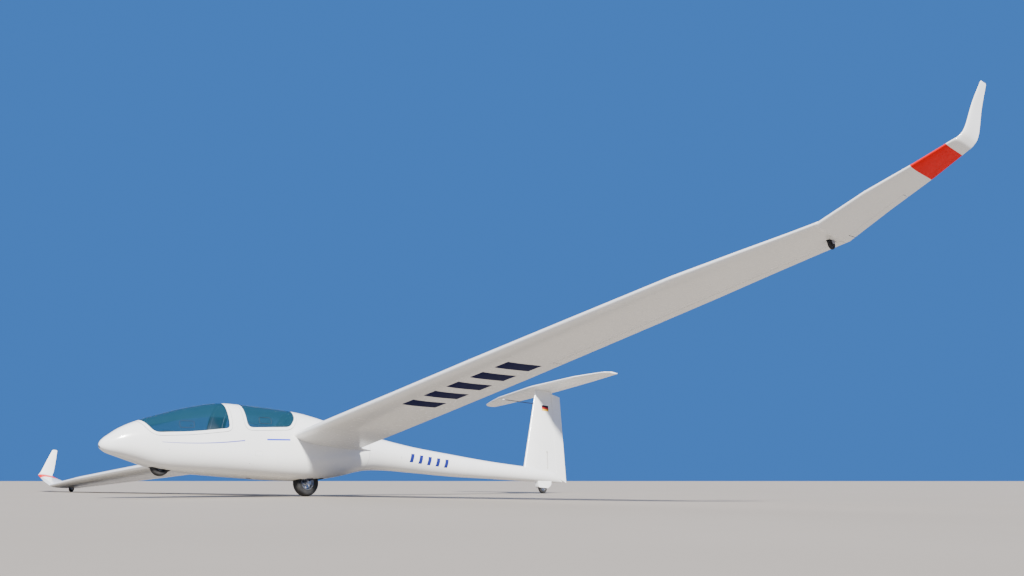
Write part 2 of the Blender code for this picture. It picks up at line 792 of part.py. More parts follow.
def build_canopy(label, opening, hinge_stations, pod):
    """Make one canopy: its frame, its glass and its hinges on the starboard sill."""
    centres = canopy_hinge_centres(opening, hinge_stations)
    empty = hinge_empty(f"hinge_canopy_{label}", centres[0], centres[1] - centres[0])
    first, last = CANOPY_REACH
    stations = [s for s in POD_STATIONS if first < s < last]
    hollow_stations = [first - 0.01, *stations, last]
    window = RUNNING + FRAME_WIDTH

    frame = place(f"canopy_frame_{label}", hull(f"canopy_frame_{label}", stations), GELCOAT, empty)
    cut(frame, hull(f"{label}_frame_hollow", hollow_stations, FRAME_SKIN))
    keep(frame, prism(f"{label}_frame_edge", opening_edge(opening, RUNNING), -0.6, 0.6))
    cut(frame, prism(f"{label}_window", opening_edge(opening, window), -0.7, 0.7))
    build_canopy_hinges(label, pod, frame, centres)

    glass = place(f"canopy_glass_{label}", hull(f"canopy_glass_{label}", stations), CLEAR, empty)
    cut(glass, hull(f"{label}_glass_hollow", hollow_stations, GLASS))
    keep(glass, prism(f"{label}_pane", opening_edge(opening, window + TOUCH), -0.6, 0.6))


def wing_root_stub(name, side):
    """Give the moulded root of the wing on one side, flaring into the fuselage."""
    leading, trailing, thickness = wing_row(ROOT_RIB)
    rings = []
    for y in (*STUB_SPANS, ROOT_RIB - TOUCH):
        grow = STUB_FLARE * min((ROOT_RIB - y) / FLARE_LENGTH, FLARE_MOST) ** 2
        front = at(-leading.x - grow * 0.6, side * y, leading.z)
        back = at(-trailing.x + grow * 1.6, side * y, trailing.z)
        rings.append(section_ring(front, back, thickness * (1.0 + grow * 2.5), CAMBER, UP))
    return loft(name, rings)


def build_pod():
    """Make the moulded front fuselage with its cockpit, canopy openings and wheel slots."""
    pod = place("fuselage_pod", hull("fuselage_pod", (*POD_STATIONS, BOOM_JOINT - TOUCH / 2.0)), GELCOAT)
    join(pod, wing_root_stub("root_stub_port", 1.0), wing_root_stub("root_stub_starboard", -1.0))
    cut(pod, hull("cockpit_cavity", (CAVITY_FRONT, *CAVITY_STATIONS, BOOM_JOINT + 0.05), SKIN))
    cut(pod, prism("front_canopy_opening", opening_edge(FRONT_OPENING), -0.6, 0.6))
    cut(pod, prism("rear_canopy_opening", opening_edge(REAR_OPENING), -0.6, 0.6))
    first, last, half = MAIN_SLOT
    cut(pod, box("main_wheel_slot", (first, -half, -0.40), (last, half, -0.10)))
    station, z, radius, width = NOSE_WHEEL[:4]
    reach, half = radius + WHEEL_ROOM, width / 2.0 + WHEEL_ROOM
    cut(pod, box("nose_wheel_slot", (station - reach, -half, z - 0.20), (station + reach, half, z + 0.06)))
    return pod


def build_boom():
    """Make the hollow tail boom."""
    boom = place("tail_boom", hull("tail_boom", (BOOM_JOINT + TOUCH / 2.0, *BOOM_STATIONS)), GELCOAT)
    return cut(boom, hull("boom_cavity", (BOOM_JOINT - 0.05, *BOOM_CAVITY_STATIONS), SKIN))


def aileron_hinge(span, row_at, side):
    """Give an aileron's axis points with the nose radius at each."""
    points = []
    for y, station in span:
        middle, half = surface_point(row_at(y), station, 0.0)
        points.append((*on_side([middle], side), half - SURFACE_NOSE_INSET))
    return points


def build_airbrake(label, wing, side):
    """Make the airbrake blade with its cap strip, its slot and its two guide rods."""
    ends = on_side([surface_point(wing_row(y), BRAKE_STATION, 1.0)[0] for y in BRAKE_SPAN], side)
    along = (ends[1] - ends[0]).normalized()
    lift = (UP - along * along.dot(UP)).normalized()
    turn = Matrix((lift.cross(along).normalized(), along, lift)).transposed().to_4x4()
    centre = (ends[0] + ends[1]) / 2.0
    rest = Matrix.Translation(centre - lift * BRAKE_SUNK) @ turn
    cap_length = (ends[1] - ends[0]).length
    blade_length = cap_length - 2 * BRAKE_END_MARGIN

    def bar(name, width, length, low, high):
        lifted = rest @ Matrix.Translation((0.0, 0.0, (low + high) / 2.0))
        return block(name, (width, length, high - low), lifted)

    empty = hinge_empty(f"slide_airbrake_{label}", centre, lift)
    name = f"airbrake_{label}"
    blade = place(name, bar(name, BRAKE_THICKNESS, blade_length, -BRAKE_HEIGHT, -0.001), GELCOAT, empty)
    join(blade, bar(f"brake_cap_{label}", BRAKE_CAP_WIDTH, cap_length, -BRAKE_CAP_DEPTH, 0.0))
    spare = 2 * RUNNING
    low = -BRAKE_HEIGHT - RUNNING
    cut(wing, bar(f"brake_slot_{label}", BRAKE_THICKNESS + spare, blade_length + spare, low, 0.1))
    low = -BRAKE_CAP_DEPTH - RUNNING
    cut(wing, bar(f"brake_recess_{label}", BRAKE_CAP_WIDTH + spare, cap_length + spare, low, 0.1))
    for number, share in enumerate(BRAKE_ROD_SHARES):
        foot = rest @ Vector((0.0, share * blade_length, -BRAKE_HEIGHT - BRAKE_ROD_DEPTH))
        head = foot + lift * BRAKE_ROD_LENGTH
        join(wing, rod(f"brake_rod_{label}_{number}", foot, head, BRAKE_ROD_RADIUS, segments=8))
        head += lift * PIN_PLAY
        cut(blade, rod(f"brake_bore_{label}_{number}", foot, head, BRAKE_ROD_RADIUS + PIN_PLAY, segments=8))


def build_tip_wheel(label, wing, side):
    """Make the small wheel under the wing tip, between two lugs and on a fixed pin."""
    station, y, z, radius, width, axle = TIP_WHEEL
    centre = at(station, side * y, z)
    half = width / 2.0
    reach, side_reach = radius + 0.008, half + 0.006
    low = (station - reach, side * y - side_reach, z - 0.03)
    high = (station + reach, side * y + side_reach, z + radius + 0.007)
    cut(wing, box(f"tip_well_{label}", low, high))
    outline = [(station + shift, z + rise) for shift, rise in TIP_LUG]
    for number, offset in enumerate((-TIP_LUG_OFFSET, TIP_LUG_OFFSET)):
        near = side * y + offset - TIP_LUG_HALF
        join(wing, prism(f"tip_lug_{label}_{number}", outline, near, near + 2 * TIP_LUG_HALF))
    join(wing, rod(f"tip_pin_{label}", centre - PORT * TIP_PIN_HALF, centre + PORT * TIP_PIN_HALF, axle))
    empty = hinge_empty(f"hinge_tip_wheel_{label}", centre, PORT)
    crown = radius - TIP_SHOULDER
    profile = [(axle + PIN_PLAY, -half), (axle + PIN_PLAY, half), (crown, half)]
    for degrees in (60, 30, 0, -30, -60):
        angle = math.radians(degrees)
        profile.append((crown + TIP_SHOULDER * math.cos(angle), half * math.sin(angle)))
    profile.append((crown, -half))
    name = f"tip_wheel_{label}"
    return place(name, turned(name, centre, profile, SMALL_SEGMENTS), TYRE, empty)


def build_wing(label, side):
    """Make one wing: main panel, outer tip with winglet, ailerons, airbrake and tip wheel."""
    rings = [on_side(section_ring(*wing_row(row[0]), CAMBER, UP), side) for row in WING]
    joint_gap = PORT * side * TOUCH / 2.0
    tip_rings = [[p + joint_gap for p in rings[-1]]] + [on_side(tip_ring(row), side) for row in tip_rows()]
    rings[-1] = [p - joint_gap for p in rings[-1]]
    wing = place(f"wing_{label}", loft(f"wing_{label}", rings), GELCOAT)
    tip = place(f"wing_tip_{label}", loft(f"wing_tip_{label}", tip_rings), GELCOAT)
    points = aileron_hinge(AILERON, wing_row, side)
    build_surface(f"aileron_{label}", wing, rings, points, AILERON_LIMIT, UP, AILERON_PIN)
    points = aileron_hinge(TIP_AILERON, tip_section, side)
    build_surface(f"tip_aileron_{label}", tip, tip_rings, points, AILERON_LIMIT, UP, TIP_AILERON_PIN)
    build_airbrake(label, wing, side)
    return build_tip_wheel(label, wing, side)


def sloped(slope, shift, far_z):
    """Give the side view between a sloping line and a height far from it."""
    (start, start_z), (end, end_z) = slope
    return [(start, start_z + shift), (end, end_z + shift), (end, far_z), (start, far_z)]


def build_fin(boom):
    """Make the fin and the rudder, which turns on a pin at the boom and one at the top."""
    rings = []
    for z, leading, trailing in FIN:
        rings.append(section_ring(at(leading, 0.0, z), at(trailing, 0.0, z), FIN_THICKNESS, 0.0, PORT))
    fin = place("fin", loft("fin", rings), GELCOAT)
    cut(fin, hull("boom_under_fin", FIN_BOOM_STATIONS, -TOUCH))
    cut(fin, box("fin_root", (6.5, -0.3, -0.30), (9.0, 0.3, FIN_ROOT_Z)))

    low_nose, top_nose = RUDDER_NOSE
    foot = at(RUDDER_AXIS, 0.0, RUDDER_FOOT)
    points = [(foot, low_nose), (at(RUDDER_AXIS, 0.0, RUDDER_TOP), top_nose)]
    empty = hinge_empty("hinge_rudder", foot, UP)
    rudder = place("rudder", loft("rudder", rings), GELCOAT, empty)
    keep(rudder, hinge_volume("rudder_volume", points, PORT, VOLUME_REACH))
    cut(rudder, prism("rudder_heel", sloped(HEEL_SLOPE, 0.0, -0.30), -0.3, 0.3))
    cut(rudder, prism("rudder_crown", sloped(CROWN_SLOPE, 0.0, 1.90), -0.3, 0.3))
    cut(fin, hinge_volume("rudder_room", points, PORT, ROOM_REACH, RUDDER_LIMIT))
    cut(fin, box("fin_tail_end", (FIN_END_STATION, -0.3, FIN_END_Z), (8.80, 0.3, 1.95)))
    heel_room = guide(hinge_volume("heel_room", points, PORT, ROOM_REACH, RUDDER_LIMIT))
    keep(heel_room, prism("above_heel", sloped(HEEL_SLOPE, -HEEL_GAP, 0.60), -0.4, 0.4))
    cut(boom, heel_room)

    for name, holder, (start, end) in (("low", boom, RUDDER_LOW_PIN), ("top", fin, RUDDER_TOP_PIN)):
        spare = math.copysign(BORE_SPARE, end - start)
        pin_foot = at(RUDDER_AXIS, 0.0, start)
        join(holder, rod(f"rudder_{name}_pin", pin_foot, at(RUDDER_AXIS, 0.0, end), RUDDER_PIN_RADIUS))
        bore_end = at(RUDDER_AXIS, 0.0, end + spare)
        cut(rudder, rod(f"rudder_{name}_bore", pin_foot, bore_end, RUDDER_PIN_RADIUS + PIN_PLAY))
    return fin


def build_tailplane():
    """Make the tailplane on top of the fin and the elevator behind it."""
    plan = [(-y, a, b) for y, a, b in reversed(TAILPLANE[1:])] + list(TAILPLANE)
    rings = []
    for y, leading, trailing in plan:
        front, back = at(leading, y, TAILPLANE_Z), at(trailing, y, TAILPLANE_Z)
        rings.append(section_ring(front, back, TAILPLANE_THICKNESS, 0.0, UP))
    tailplane = place("tailplane", loft("tailplane", rings), GELCOAT)
    end_nose, middle_nose = ELEVATOR_NOSE
    points = []
    for y, nose in ((-ELEVATOR_HALF_SPAN, end_nose), (0.0, middle_nose), (ELEVATOR_HALF_SPAN, end_nose)):
        points.append((at(ELEVATOR_AXIS, y, TAILPLANE_Z), nose))
    build_surface("elevator", tailplane, rings, points, ELEVATOR_LIMIT, UP, ELEVATOR_PIN)


def build_probe(fin):
    """Make the energy probe, which sits in a socket in the fin's leading edge."""
    share = (PROBE_FOOT_Z - FIN[0][0]) / (FIN[-1][0] - FIN[0][0])
    leading = FIN[0][1] + share * (FIN[-1][1] - FIN[0][1])
    head_station, head_z = PROBE_HEAD
    head = at(head_station, 0.0, head_z)
    foot = at(leading + PROBE_DEPTH, 0.0, PROBE_FOOT_Z)
    forward = (head - foot).normalized()
    cut(fin, rod("probe_socket", foot - forward * TOUCH, foot + forward * 0.2, PROBE_RADIUS + PIN_PLAY))
    probe = place("energy_probe", rod("energy_probe", foot, head, PROBE_RADIUS), PANEL)
    radius, back, front = PROBE_CAP
    join(probe, rod("probe_cap", head - forward * back, head + forward * front, radius))


def tyre_profile(radius, width, rim):
    """Give a tyre's closed section: round crown, straight beads, open at the rim."""
    half = width / 2.0
    side = rim + (radius - rim) * SHOULDER_SHARE
    bead = half * BEAD_SHARE
    points = [(rim + TOUCH, -bead), (rim + TOUCH, bead), (side, half)]
    for degrees in (60, 30, 10, -10, -30, -60):
        angle = math.radians(degrees)
        points.append((side + (radius - side) * math.cos(angle), half * math.sin(angle)))
    points.append((side, -half))
    return points


def rim_profile(width, rim, bore):
    """Give a rim's section: hub, thin web and bead seat."""
    seat = width * SEAT_SHARE
    hub = width * HUB_SHARE
    web = hub * 0.3
    wall = 0.25 * (rim - bore)
    half = [(bore, hub), (bore + wall, hub), (rim - wall, web), (rim - wall, seat), (rim, seat)]
    return half + [(r, -offset) for r, offset in reversed(half)]


def build_wheel(label, wheel, segments):
    """Make a tyre and its rim on a free-turning empty."""
    station, z, radius, width, rim, axle = wheel
    centre = at(station, 0.0, z)
    empty = hinge_empty(f"hinge_{label}_wheel", centre, PORT)
    name = f"{label}_tyre"
    tyre = place(name, turned(name, centre, tyre_profile(radius, width, rim), segments), TYRE, empty)
    name = f"{label}_rim"
    place(name, turned(name, centre, rim_profile(width, rim, axle + PIN_PLAY), segments), RIM, empty)
    return tyre


def cross_rod(name, wheel, half_length, play=0.0):
    """Give a round bar along a wheel's axis: its axle, or with play the bore for it."""
    station, z, axle = wheel[0], wheel[1], wheel[5]
    return rod(name, at(station, -half_length, z), at(station, half_length, z), axle + play)


def build_main_gear(cabin):
    """Make the main wheel, its axle, its fork and the box above it."""
    station, z = MAIN_WHEEL[:2]
    tyre = build_wheel("main", MAIN_WHEEL, MAIN_SEGMENTS)
    place("main_axle", cross_rod("main_axle", MAIN_WHEEL, MAIN_AXLE_HALF), STEEL)

    low = (station - FORK_HALF_LENGTH, -FORK_HALF_WIDTH, z - FORK_HALF_LENGTH)
    high = (station + FORK_HALF_LENGTH, FORK_HALF_WIDTH, MAIN_BOX_TOP)
    fork = place("main_fork", box("main_fork", low, high), STEEL)
    gap_top = MAIN_BOX_TOP - FORK_BRIDGE
    cut(fork, box("fork_gap", (station - 0.3, -FORK_GAP, z - 0.1), (station + 0.3, FORK_GAP, gap_top)))
    cut(fork, cross_rod("main_axle_bore", MAIN_WHEEL, 0.2, TOUCH))

    first, last, half = MAIN_SLOT
    wall, outer = MAIN_BOX_WALL, half + 0.003 + MAIN_BOX_WALL
    low, high = (first - wall, -outer, -0.30), (last + wall, outer, MAIN_BOX_TOP + MAIN_BOX_ROOF)
    shell = place("main_wheel_box", box("main_wheel_box", low, high), LINING)
    keep(shell, cabin)
    low, high = (first, -outer + wall, -0.40), (last, outer - wall, MAIN_BOX_TOP + TOUCH)
    cut(shell, box("main_box_inside", low, high))
    return tyre


def build_nose_gear(cabin):
    """Make the nose wheel, its axle and the box above it."""
    station, z, radius, width = NOSE_WHEEL[:4]
    build_wheel("nose", NOSE_WHEEL, SMALL_SEGMENTS)
    reach, half, wall = radius + WHEEL_ROOM, width / 2.0 + WHEEL_ROOM, BOX_WALL
    low = (station - reach - wall, -half - wall, -0.30)
    high = (station + reach + wall, half + wall, z + reach + wall)
    shell = place("nose_wheel_box", box("nose_wheel_box", low, high), LINING)
    keep(shell, cabin)
    cut(shell, box("nose_box_inside", (station - reach, -half, -0.40), (station + reach, half, z + reach)))
    cut(shell, cross_rod("nose_axle_bore", NOSE_WHEEL, 0.2, TOUCH))
    place("nose_axle", cross_rod("nose_axle", NOSE_WHEEL, half + wall + 0.008), STEEL)


def build_tail_gear(boom):
    """Make the tail wheel in its fairing under the boom."""
    station, z, radius, width = TAIL_WHEEL[:4]
    tyre = build_wheel("tail", TAIL_WHEEL, SMALL_SEGMENTS)
    half = width / 2.0 + FAIRING_ROOM
    outer = half + FAIRING_WALL
    corners = [(station + shift, height) for shift, height, _ in FAIRING]
    outline = rounded(corners, [reach for _, _, reach in FAIRING])
    fairing = place("tail_wheel_fairing", prism("tail_wheel_fairing", outline, -outer, outer), GELCOAT)
    cut(fairing, hull("boom_over_fairing", (7.0, 7.4, 7.75, 8.05, 8.30, 8.43), -TOUCH))
    reach = radius + WHEEL_ROOM
    high = (station + reach, half, z + radius + 0.010)
    slot = guide(box("tail_wheel_slot", (station - reach, -half, -0.20), high))
    cut(fairing, slot)
    cut(boom, slot)
    lug_outline = [(station + shift, z + rise) for shift, rise in FAIRING_LUG]
    for label, side in (("port", 1.0), ("starboard", -1.0)):
        near, far = sorted((side * (half + 0.001), side * outer))
        join(fairing, prism(f"tail_lug_{label}", lug_outline, near, far))
    cut(fairing, cross_rod("tail_axle_bore", TAIL_WHEEL, 0.2, TOUCH))
    place("tail_axle", cross_rod("tail_axle", TAIL_WHEEL, outer + 0.002), STEEL)
    return tyre


def build_bracket():
    """Make the small T-shaped bracket on the keel beside the main wheel."""
    parts = []
    for first, last, near, far, depth in (BRACKET_BAR, BRACKET_STEM):
        low = hull_section((first + last) / 2.0)[1]
        parts.append(box("bracket_piece", (first, near, low - depth), (last, far, low + BRACKET_ROOT)))
    bar, stem = parts
    bracket = join(place("wheel_bracket", bar, STEEL), stem)
    cut(bracket, hull("skin_over_bracket", (2.65, 2.95, 3.25, 3.60), -TOUCH))


def seat_point(step, shift):
    """Give the middle of the seat's upper face at a step along it, as station and height."""
    last = len(SEAT_ROUTE) - 1
    place_along = step / SEAT_STEPS * last
    i = min(int(place_along), last - 1)
    corners = [SEAT_ROUTE[min(max(k, 0), last)] for k in (i - 1, i, i + 1, i + 2)]
    station, z = (smooth(a, b, c, d, place_along - i) for a, b, c, d in zip(*corners))
    return Vector((station + shift, z))


def seat_spot(step, shift, y, lift):
    """Give a point over the seat's face."""
    run = seat_point(min(step + 0.3, SEAT_STEPS), shift) - seat_point(max(step - 0.3, 0.0), shift)
    off = Vector((-run.y, run.x)).normalized() * lift
    point = seat_point(step, shift) + off
    return at(point.x, y, point.y)


def build_seat(label, shift, half_width, cabin):
    """Make one seat: a moulded shell with raised edges on two ribs, and its cushions."""
    name = f"seat_{label}"
    rings = []
    for step in range(SEAT_STEPS + 1):
        narrowing = max(step / SEAT_STEPS - NARROWING_START, 0.0) / (1.0 - NARROWING_START)
        width = half_width * (1.0 - SHOULDER_NARROWING * narrowing)
        top = [(-1.0, LIP), (-LIP_START, 0.0), (LIP_START, 0.0), (1.0, LIP)]
        section = top + [(y, lift - SHELL_DEPTH) for y, lift in reversed(top)]
        rings.append([seat_spot(step, shift, y * width, lift) for y, lift in section])
    seat = place(name, loft(name, rings), LINING)
    for number, (station, top) in enumerate(SEAT_RIBS):
        start = station + shift
        low, high = (start, -RIB_HALF_WIDTH, BELOW_FLOOR), (start + RIB_LENGTH, RIB_HALF_WIDTH, top)
        join(seat, box(f"{name}_rib_{number}", low, high))
    keep(seat, cabin)
    for kind, first, last, half, depth in CUSHIONS:
        name = f"{kind}_{label}"
        rings = []
        for step in range(first, last + 1):
            tall = depth * (CUSHION_EDGE if step in (first, last) else 1.0)
            ring = [seat_spot(step, shift, y * half, TOUCH + rise * tall) for y, rise in CUSHION_SECTION]
            rings.append(ring)
        place(name, loft(name, rings), CLOTH)


def build_controls(label, cabin):
    """Make one seat's stick and its pair of pedals."""
    station = STICK_STATIONS[label]
    name = f"stick_{label}"
    pieces = []
    for (start, start_z, start_radius), (end, end_z, end_radius) in STICK:
        foot, head = at(station + start, 0.0, start_z), at(station + end, 0.0, end_z)
        pieces.append(rod(name, foot, head, start_radius, end_radius))
    tube, hand_grip, boot = pieces
    keep(join(place(name, tube, GRIP), hand_grip, boot), cabin)

    station = PEDAL_STATIONS[label]
    name = f"pedals_{label}"
    bar_start, bar_end = at(station, -PEDAL_BAR_HALF, PEDAL_BAR_Z), at(station, PEDAL_BAR_HALF, PEDAL_BAR_Z)
    pedals = place(name, rod(name, bar_start, bar_end, 0.010), STEEL)
    low_z, high_z = PEDAL_PLATE_ENDS
    for number, side in enumerate((-1.0, 1.0)):
        y, half = side * PEDAL_PLATE_Y, PEDAL_PLATE_HALF
        low, high = (station - 0.012, y - half, low_z), (station + 0.004, y + half, high_z)
        join(pedals, box(f"{name}_plate_{number}", low, high))
        y, half = side * PEDAL_LEG_Y, PEDAL_LEG_HALF
        low, high = (station - half, y - half, BELOW_FLOOR), (station + half, y + half, PEDAL_BAR_Z + 0.005)
        join(pedals, box(f"{name}_leg_{number}", low, high))
    keep(pedals, cabin)


def build_panel(label, foot, cabin):
    """Make one instrument panel on its column, which stands at the foot's height or on the floor."""
    face, top = PANELS[label]
    name = f"instrument_panel_{label}"
    half, shoulder = PANEL_HALF_WIDTH, top - PANEL_SHOULDER
    starboard = [(-PANEL_TOP_HALF, top), (-half, shoulder), (-half, PANEL_BOTTOM)]
    outline = starboard + [(-y, z) for y, z in reversed(starboard)]
    rings = [[at(station, y, z) for y, z in outline] for station in (face - PANEL_DEPTH, face)]
    panel = place(name, loft(name, rings), PANEL)
    front, back = COLUMN_DEPTH
    low = (face - front, -COLUMN_HALF_WIDTH, foot)
    join(panel, box(f"{name}_column", low, (face - back, COLUMN_HALF_WIDTH, COLUMN_TOP)))
    keep(panel, cabin)


def build_cockpit(cabin):
    """Make what shows through the canopies."""
    for label, shift, half_width in SEATS:
        build_seat(label, shift, half_width, cabin)
        build_controls(label, cabin)
    nose_box_top = NOSE_WHEEL[1] + NOSE_WHEEL[2] + WHEEL_ROOM + BOX_WALL
    build_panel("front", nose_box_top + TOUCH, cabin)
    build_panel("rear", BELOW_FLOOR, cabin)
    start, end = BULKHEAD
    keep(place("rear_bulkhead", box("rear_bulkhead", (start, -0.5, -0.5), (end, 0.5, 1.0)), LINING), cabin)


def build_hooks(pod):
    """Make the belly tow hook and the nose tow hook in their recesses."""
    first, last, half = BELLY_HOOK
    cut(pod, box("belly_hook_opening", (first, -half, -0.40), (last, half, -0.10)))
    keel = hull_section(2.09)[1]
    bottom, top = (keel + height for height in BELLY_HOOK_HEIGHTS)
    low = (first + TOUCH, -half + TOUCH, bottom)
    hook = place("belly_tow_hook", box("belly_tow_hook", low, (last - TOUCH, half - TOUCH, top)), STEEL)
    start, end, half, depth = BELLY_MOUTH
    cut(hook, box("belly_hook_mouth", (start, -half, keel - 0.01), (end, half, keel + depth)))

    def nose_bar(name, start, end, radius):
        return rod(name, at(start, 0.0, NOSE_HOOK_Z), at(end, 0.0, NOSE_HOOK_Z), radius, segments=16)

    front, back = NOSE_HOOK_ENDS
    cut(pod, nose_bar("nose_hook_bore", -0.05, back, NOSE_HOOK_RADIUS))
    bar = nose_bar("nose_tow_hook", front, back - TOUCH, NOSE_HOOK_RADIUS - TOUCH)
    depth, radius = NOSE_MOUTH
    cut(place("nose_tow_hook", bar, STEEL), nose_bar("nose_hook_mouth", 0.0, depth, radius))


def settle(tyres):
    """Tilt and lift the airframe so that all three tyres just touch the floor."""
    normal = UP.copy()
    for _ in range(12):
        a, b, c = (min((v.co for v in tyre.data.vertices), key=normal.dot).copy() for tyre in tyres)
        normal = (b - a).cross(c - a).normalized()
        if normal.z < 0.0:
            normal = -normal
    forward = (-AFT - normal * normal.dot(-AFT)).normalized()
    port = normal.cross(forward)
    turn = Matrix((-forward, -port, normal)).to_4x4()
    airframe.matrix_basis = turn
    bpy.context.view_layer.update()
    depsgraph = bpy.context.evaluated_depsgraph_get()
    corners = []
    for piece in PARTS.objects:
        if piece.type == "MESH":
            shape = piece.evaluated_get(depsgraph)
            corners += [shape.matrix_world @ v.co for v in shape.to_mesh().vertices]
            shape.to_mesh_clear()
    lows = [min(p[i] for p in corners) for i in range(3)]
    highs = [max(p[i] for p in corners) for i in range(3)]
    move = Vector((-(lows[0] + highs[0]) / 2.0, -(lows[1] + highs[1]) / 2.0, -lows[2]))
    airframe.matrix_basis = Matrix.Translation(move) @ turn


def main():
    """Build the whole sailplane and set it down."""
    pod = build_pod()
    boom = build_boom()
    cabin = guide(hull("cabin", (CAVITY_FRONT, *CAVITY_STATIONS, BOOM_JOINT + 0.05), SKIN + TOUCH))
    build_canopy("front", FRONT_OPENING, FRONT_HINGES, pod)
    build_canopy("rear", REAR_OPENING, REAR_HINGES, pod)
    build_wing("left", 1.0)
    tip_wheel = build_wing("right", -1.0)
    fin = build_fin(boom)
    build_tailplane()
    build_probe(fin)
    main_tyre = build_main_gear(cabin)
    build_nose_gear(cabin)
    tail_tyre = build_tail_gear(boom)
    build_bracket()
    build_cockpit(cabin)
    build_hooks(pod)
    settle((main_tyre, tail_tyre, tip_wheel))


main()
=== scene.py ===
"""Looks of a two-seat training sailplane with a T-tail, parked on its wheels and one wing tip.

Every piece is drawn in the aircraft's own coordinates: stations run aft from the
nose tip, y runs to port and z runs up from the nose tip, all in metres. The class
Craft then sets each finished mesh down where the frame's wheels stand.
"""

from __future__ import annotations

import json
import logging
import math
from dataclasses import dataclass, field
from enum import Enum
from typing import Callable, Iterable, Sequence, TypeVar

import bmesh
import bpy
from mathutils import Matrix, Vector

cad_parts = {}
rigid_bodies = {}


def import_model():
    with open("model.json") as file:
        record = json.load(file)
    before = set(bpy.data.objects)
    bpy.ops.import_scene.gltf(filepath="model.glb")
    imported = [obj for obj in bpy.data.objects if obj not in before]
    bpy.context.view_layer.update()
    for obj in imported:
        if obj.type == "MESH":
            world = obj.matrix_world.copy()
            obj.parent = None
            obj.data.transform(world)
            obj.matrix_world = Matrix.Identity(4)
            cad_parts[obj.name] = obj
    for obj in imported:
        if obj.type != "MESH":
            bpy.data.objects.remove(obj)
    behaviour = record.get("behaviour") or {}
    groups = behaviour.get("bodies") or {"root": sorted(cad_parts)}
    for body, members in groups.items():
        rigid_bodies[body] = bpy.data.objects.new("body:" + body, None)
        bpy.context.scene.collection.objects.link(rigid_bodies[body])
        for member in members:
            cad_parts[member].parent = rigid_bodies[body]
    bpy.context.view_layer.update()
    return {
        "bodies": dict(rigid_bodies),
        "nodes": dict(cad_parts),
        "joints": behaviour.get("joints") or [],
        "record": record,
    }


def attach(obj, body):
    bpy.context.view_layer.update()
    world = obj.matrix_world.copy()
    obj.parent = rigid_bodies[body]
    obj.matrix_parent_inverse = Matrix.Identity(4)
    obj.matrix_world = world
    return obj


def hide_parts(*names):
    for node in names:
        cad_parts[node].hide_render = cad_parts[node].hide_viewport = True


log = logging.getLogger("sailplane")

Ring = list[Vector]
Colour = tuple[float, float, float]
Point = tuple[float, float]
Bend = TypeVar("Bend", float, Vector)

UP = Vector((0.0, 0.0, 1.0))
PORT = Vector((0.0, 1.0, 0.0))
AFT = Vector((-1.0, 0.0, 0.0))

TOUCH = 0.0003
RUNNING = 0.0055


class Side(Enum):
    """The two sides of the aircraft, with the sign of y on each."""

    LEFT = 1.0
    RIGHT = -1.0

    @property
    def label(self) -> str:
        """Give the word that node and body names use."""
        return self.name.lower()


class Step(Enum):
    """The ways in which one solid is combined with another."""

    CUT = "DIFFERENCE"
    JOIN = "UNION"
    KEEP = "INTERSECT"


def at(station: float, y: float, z: float) -> Vector:
    """Give the point at a station aft of the nose tip."""
    return Vector((-station, y, z))


class Wire:
    """One output in a material's node tree, which adds Math nodes when it is used in sums."""

    def __init__(self, graph: "Graph", socket: bpy.types.NodeSocket) -> None:
        """Keep the socket and the graph that it belongs to."""
        self.graph = graph
        self.socket = socket

    def _math(self, operation: str, first: object, second: object | None = None) -> "Wire":
        """Add one Math node and give its output."""
        values = {0: first} if second is None else {0: first, 1: second}
        return self.graph.node("ShaderNodeMath", {"operation": operation}, values)

    def __add__(self, other: object) -> "Wire":
        """Add."""
        return self._math("ADD", self, other)

    __radd__ = __add__

    def __sub__(self, other: object) -> "Wire":
        """Subtract."""
        return self._math("SUBTRACT", self, other)

    def __rsub__(self, other: object) -> "Wire":
        """Subtract this from the other."""
        return self._math("SUBTRACT", other, self)

    def __mul__(self, other: object) -> "Wire":
        """Multiply."""
        return self._math("MULTIPLY", self, other)

    __rmul__ = __mul__

    def wave(self) -> "Wire":
        """Take the sine."""
        return self._math("SINE", self)

    def between(self, low: float, high: float) -> "Wire":
        """Rise smoothly from 0 at low to 1 at high.

        Args:
            low: Where it is 0.
            high: Where it is 1.

        Returns:
            The smooth step.
        """
        settings = {"interpolation_type": "SMOOTHSTEP"}
        values = {"Value": self, "From Min": low, "From Max": high}
        return self.graph.node("ShaderNodeMapRange", settings, values)


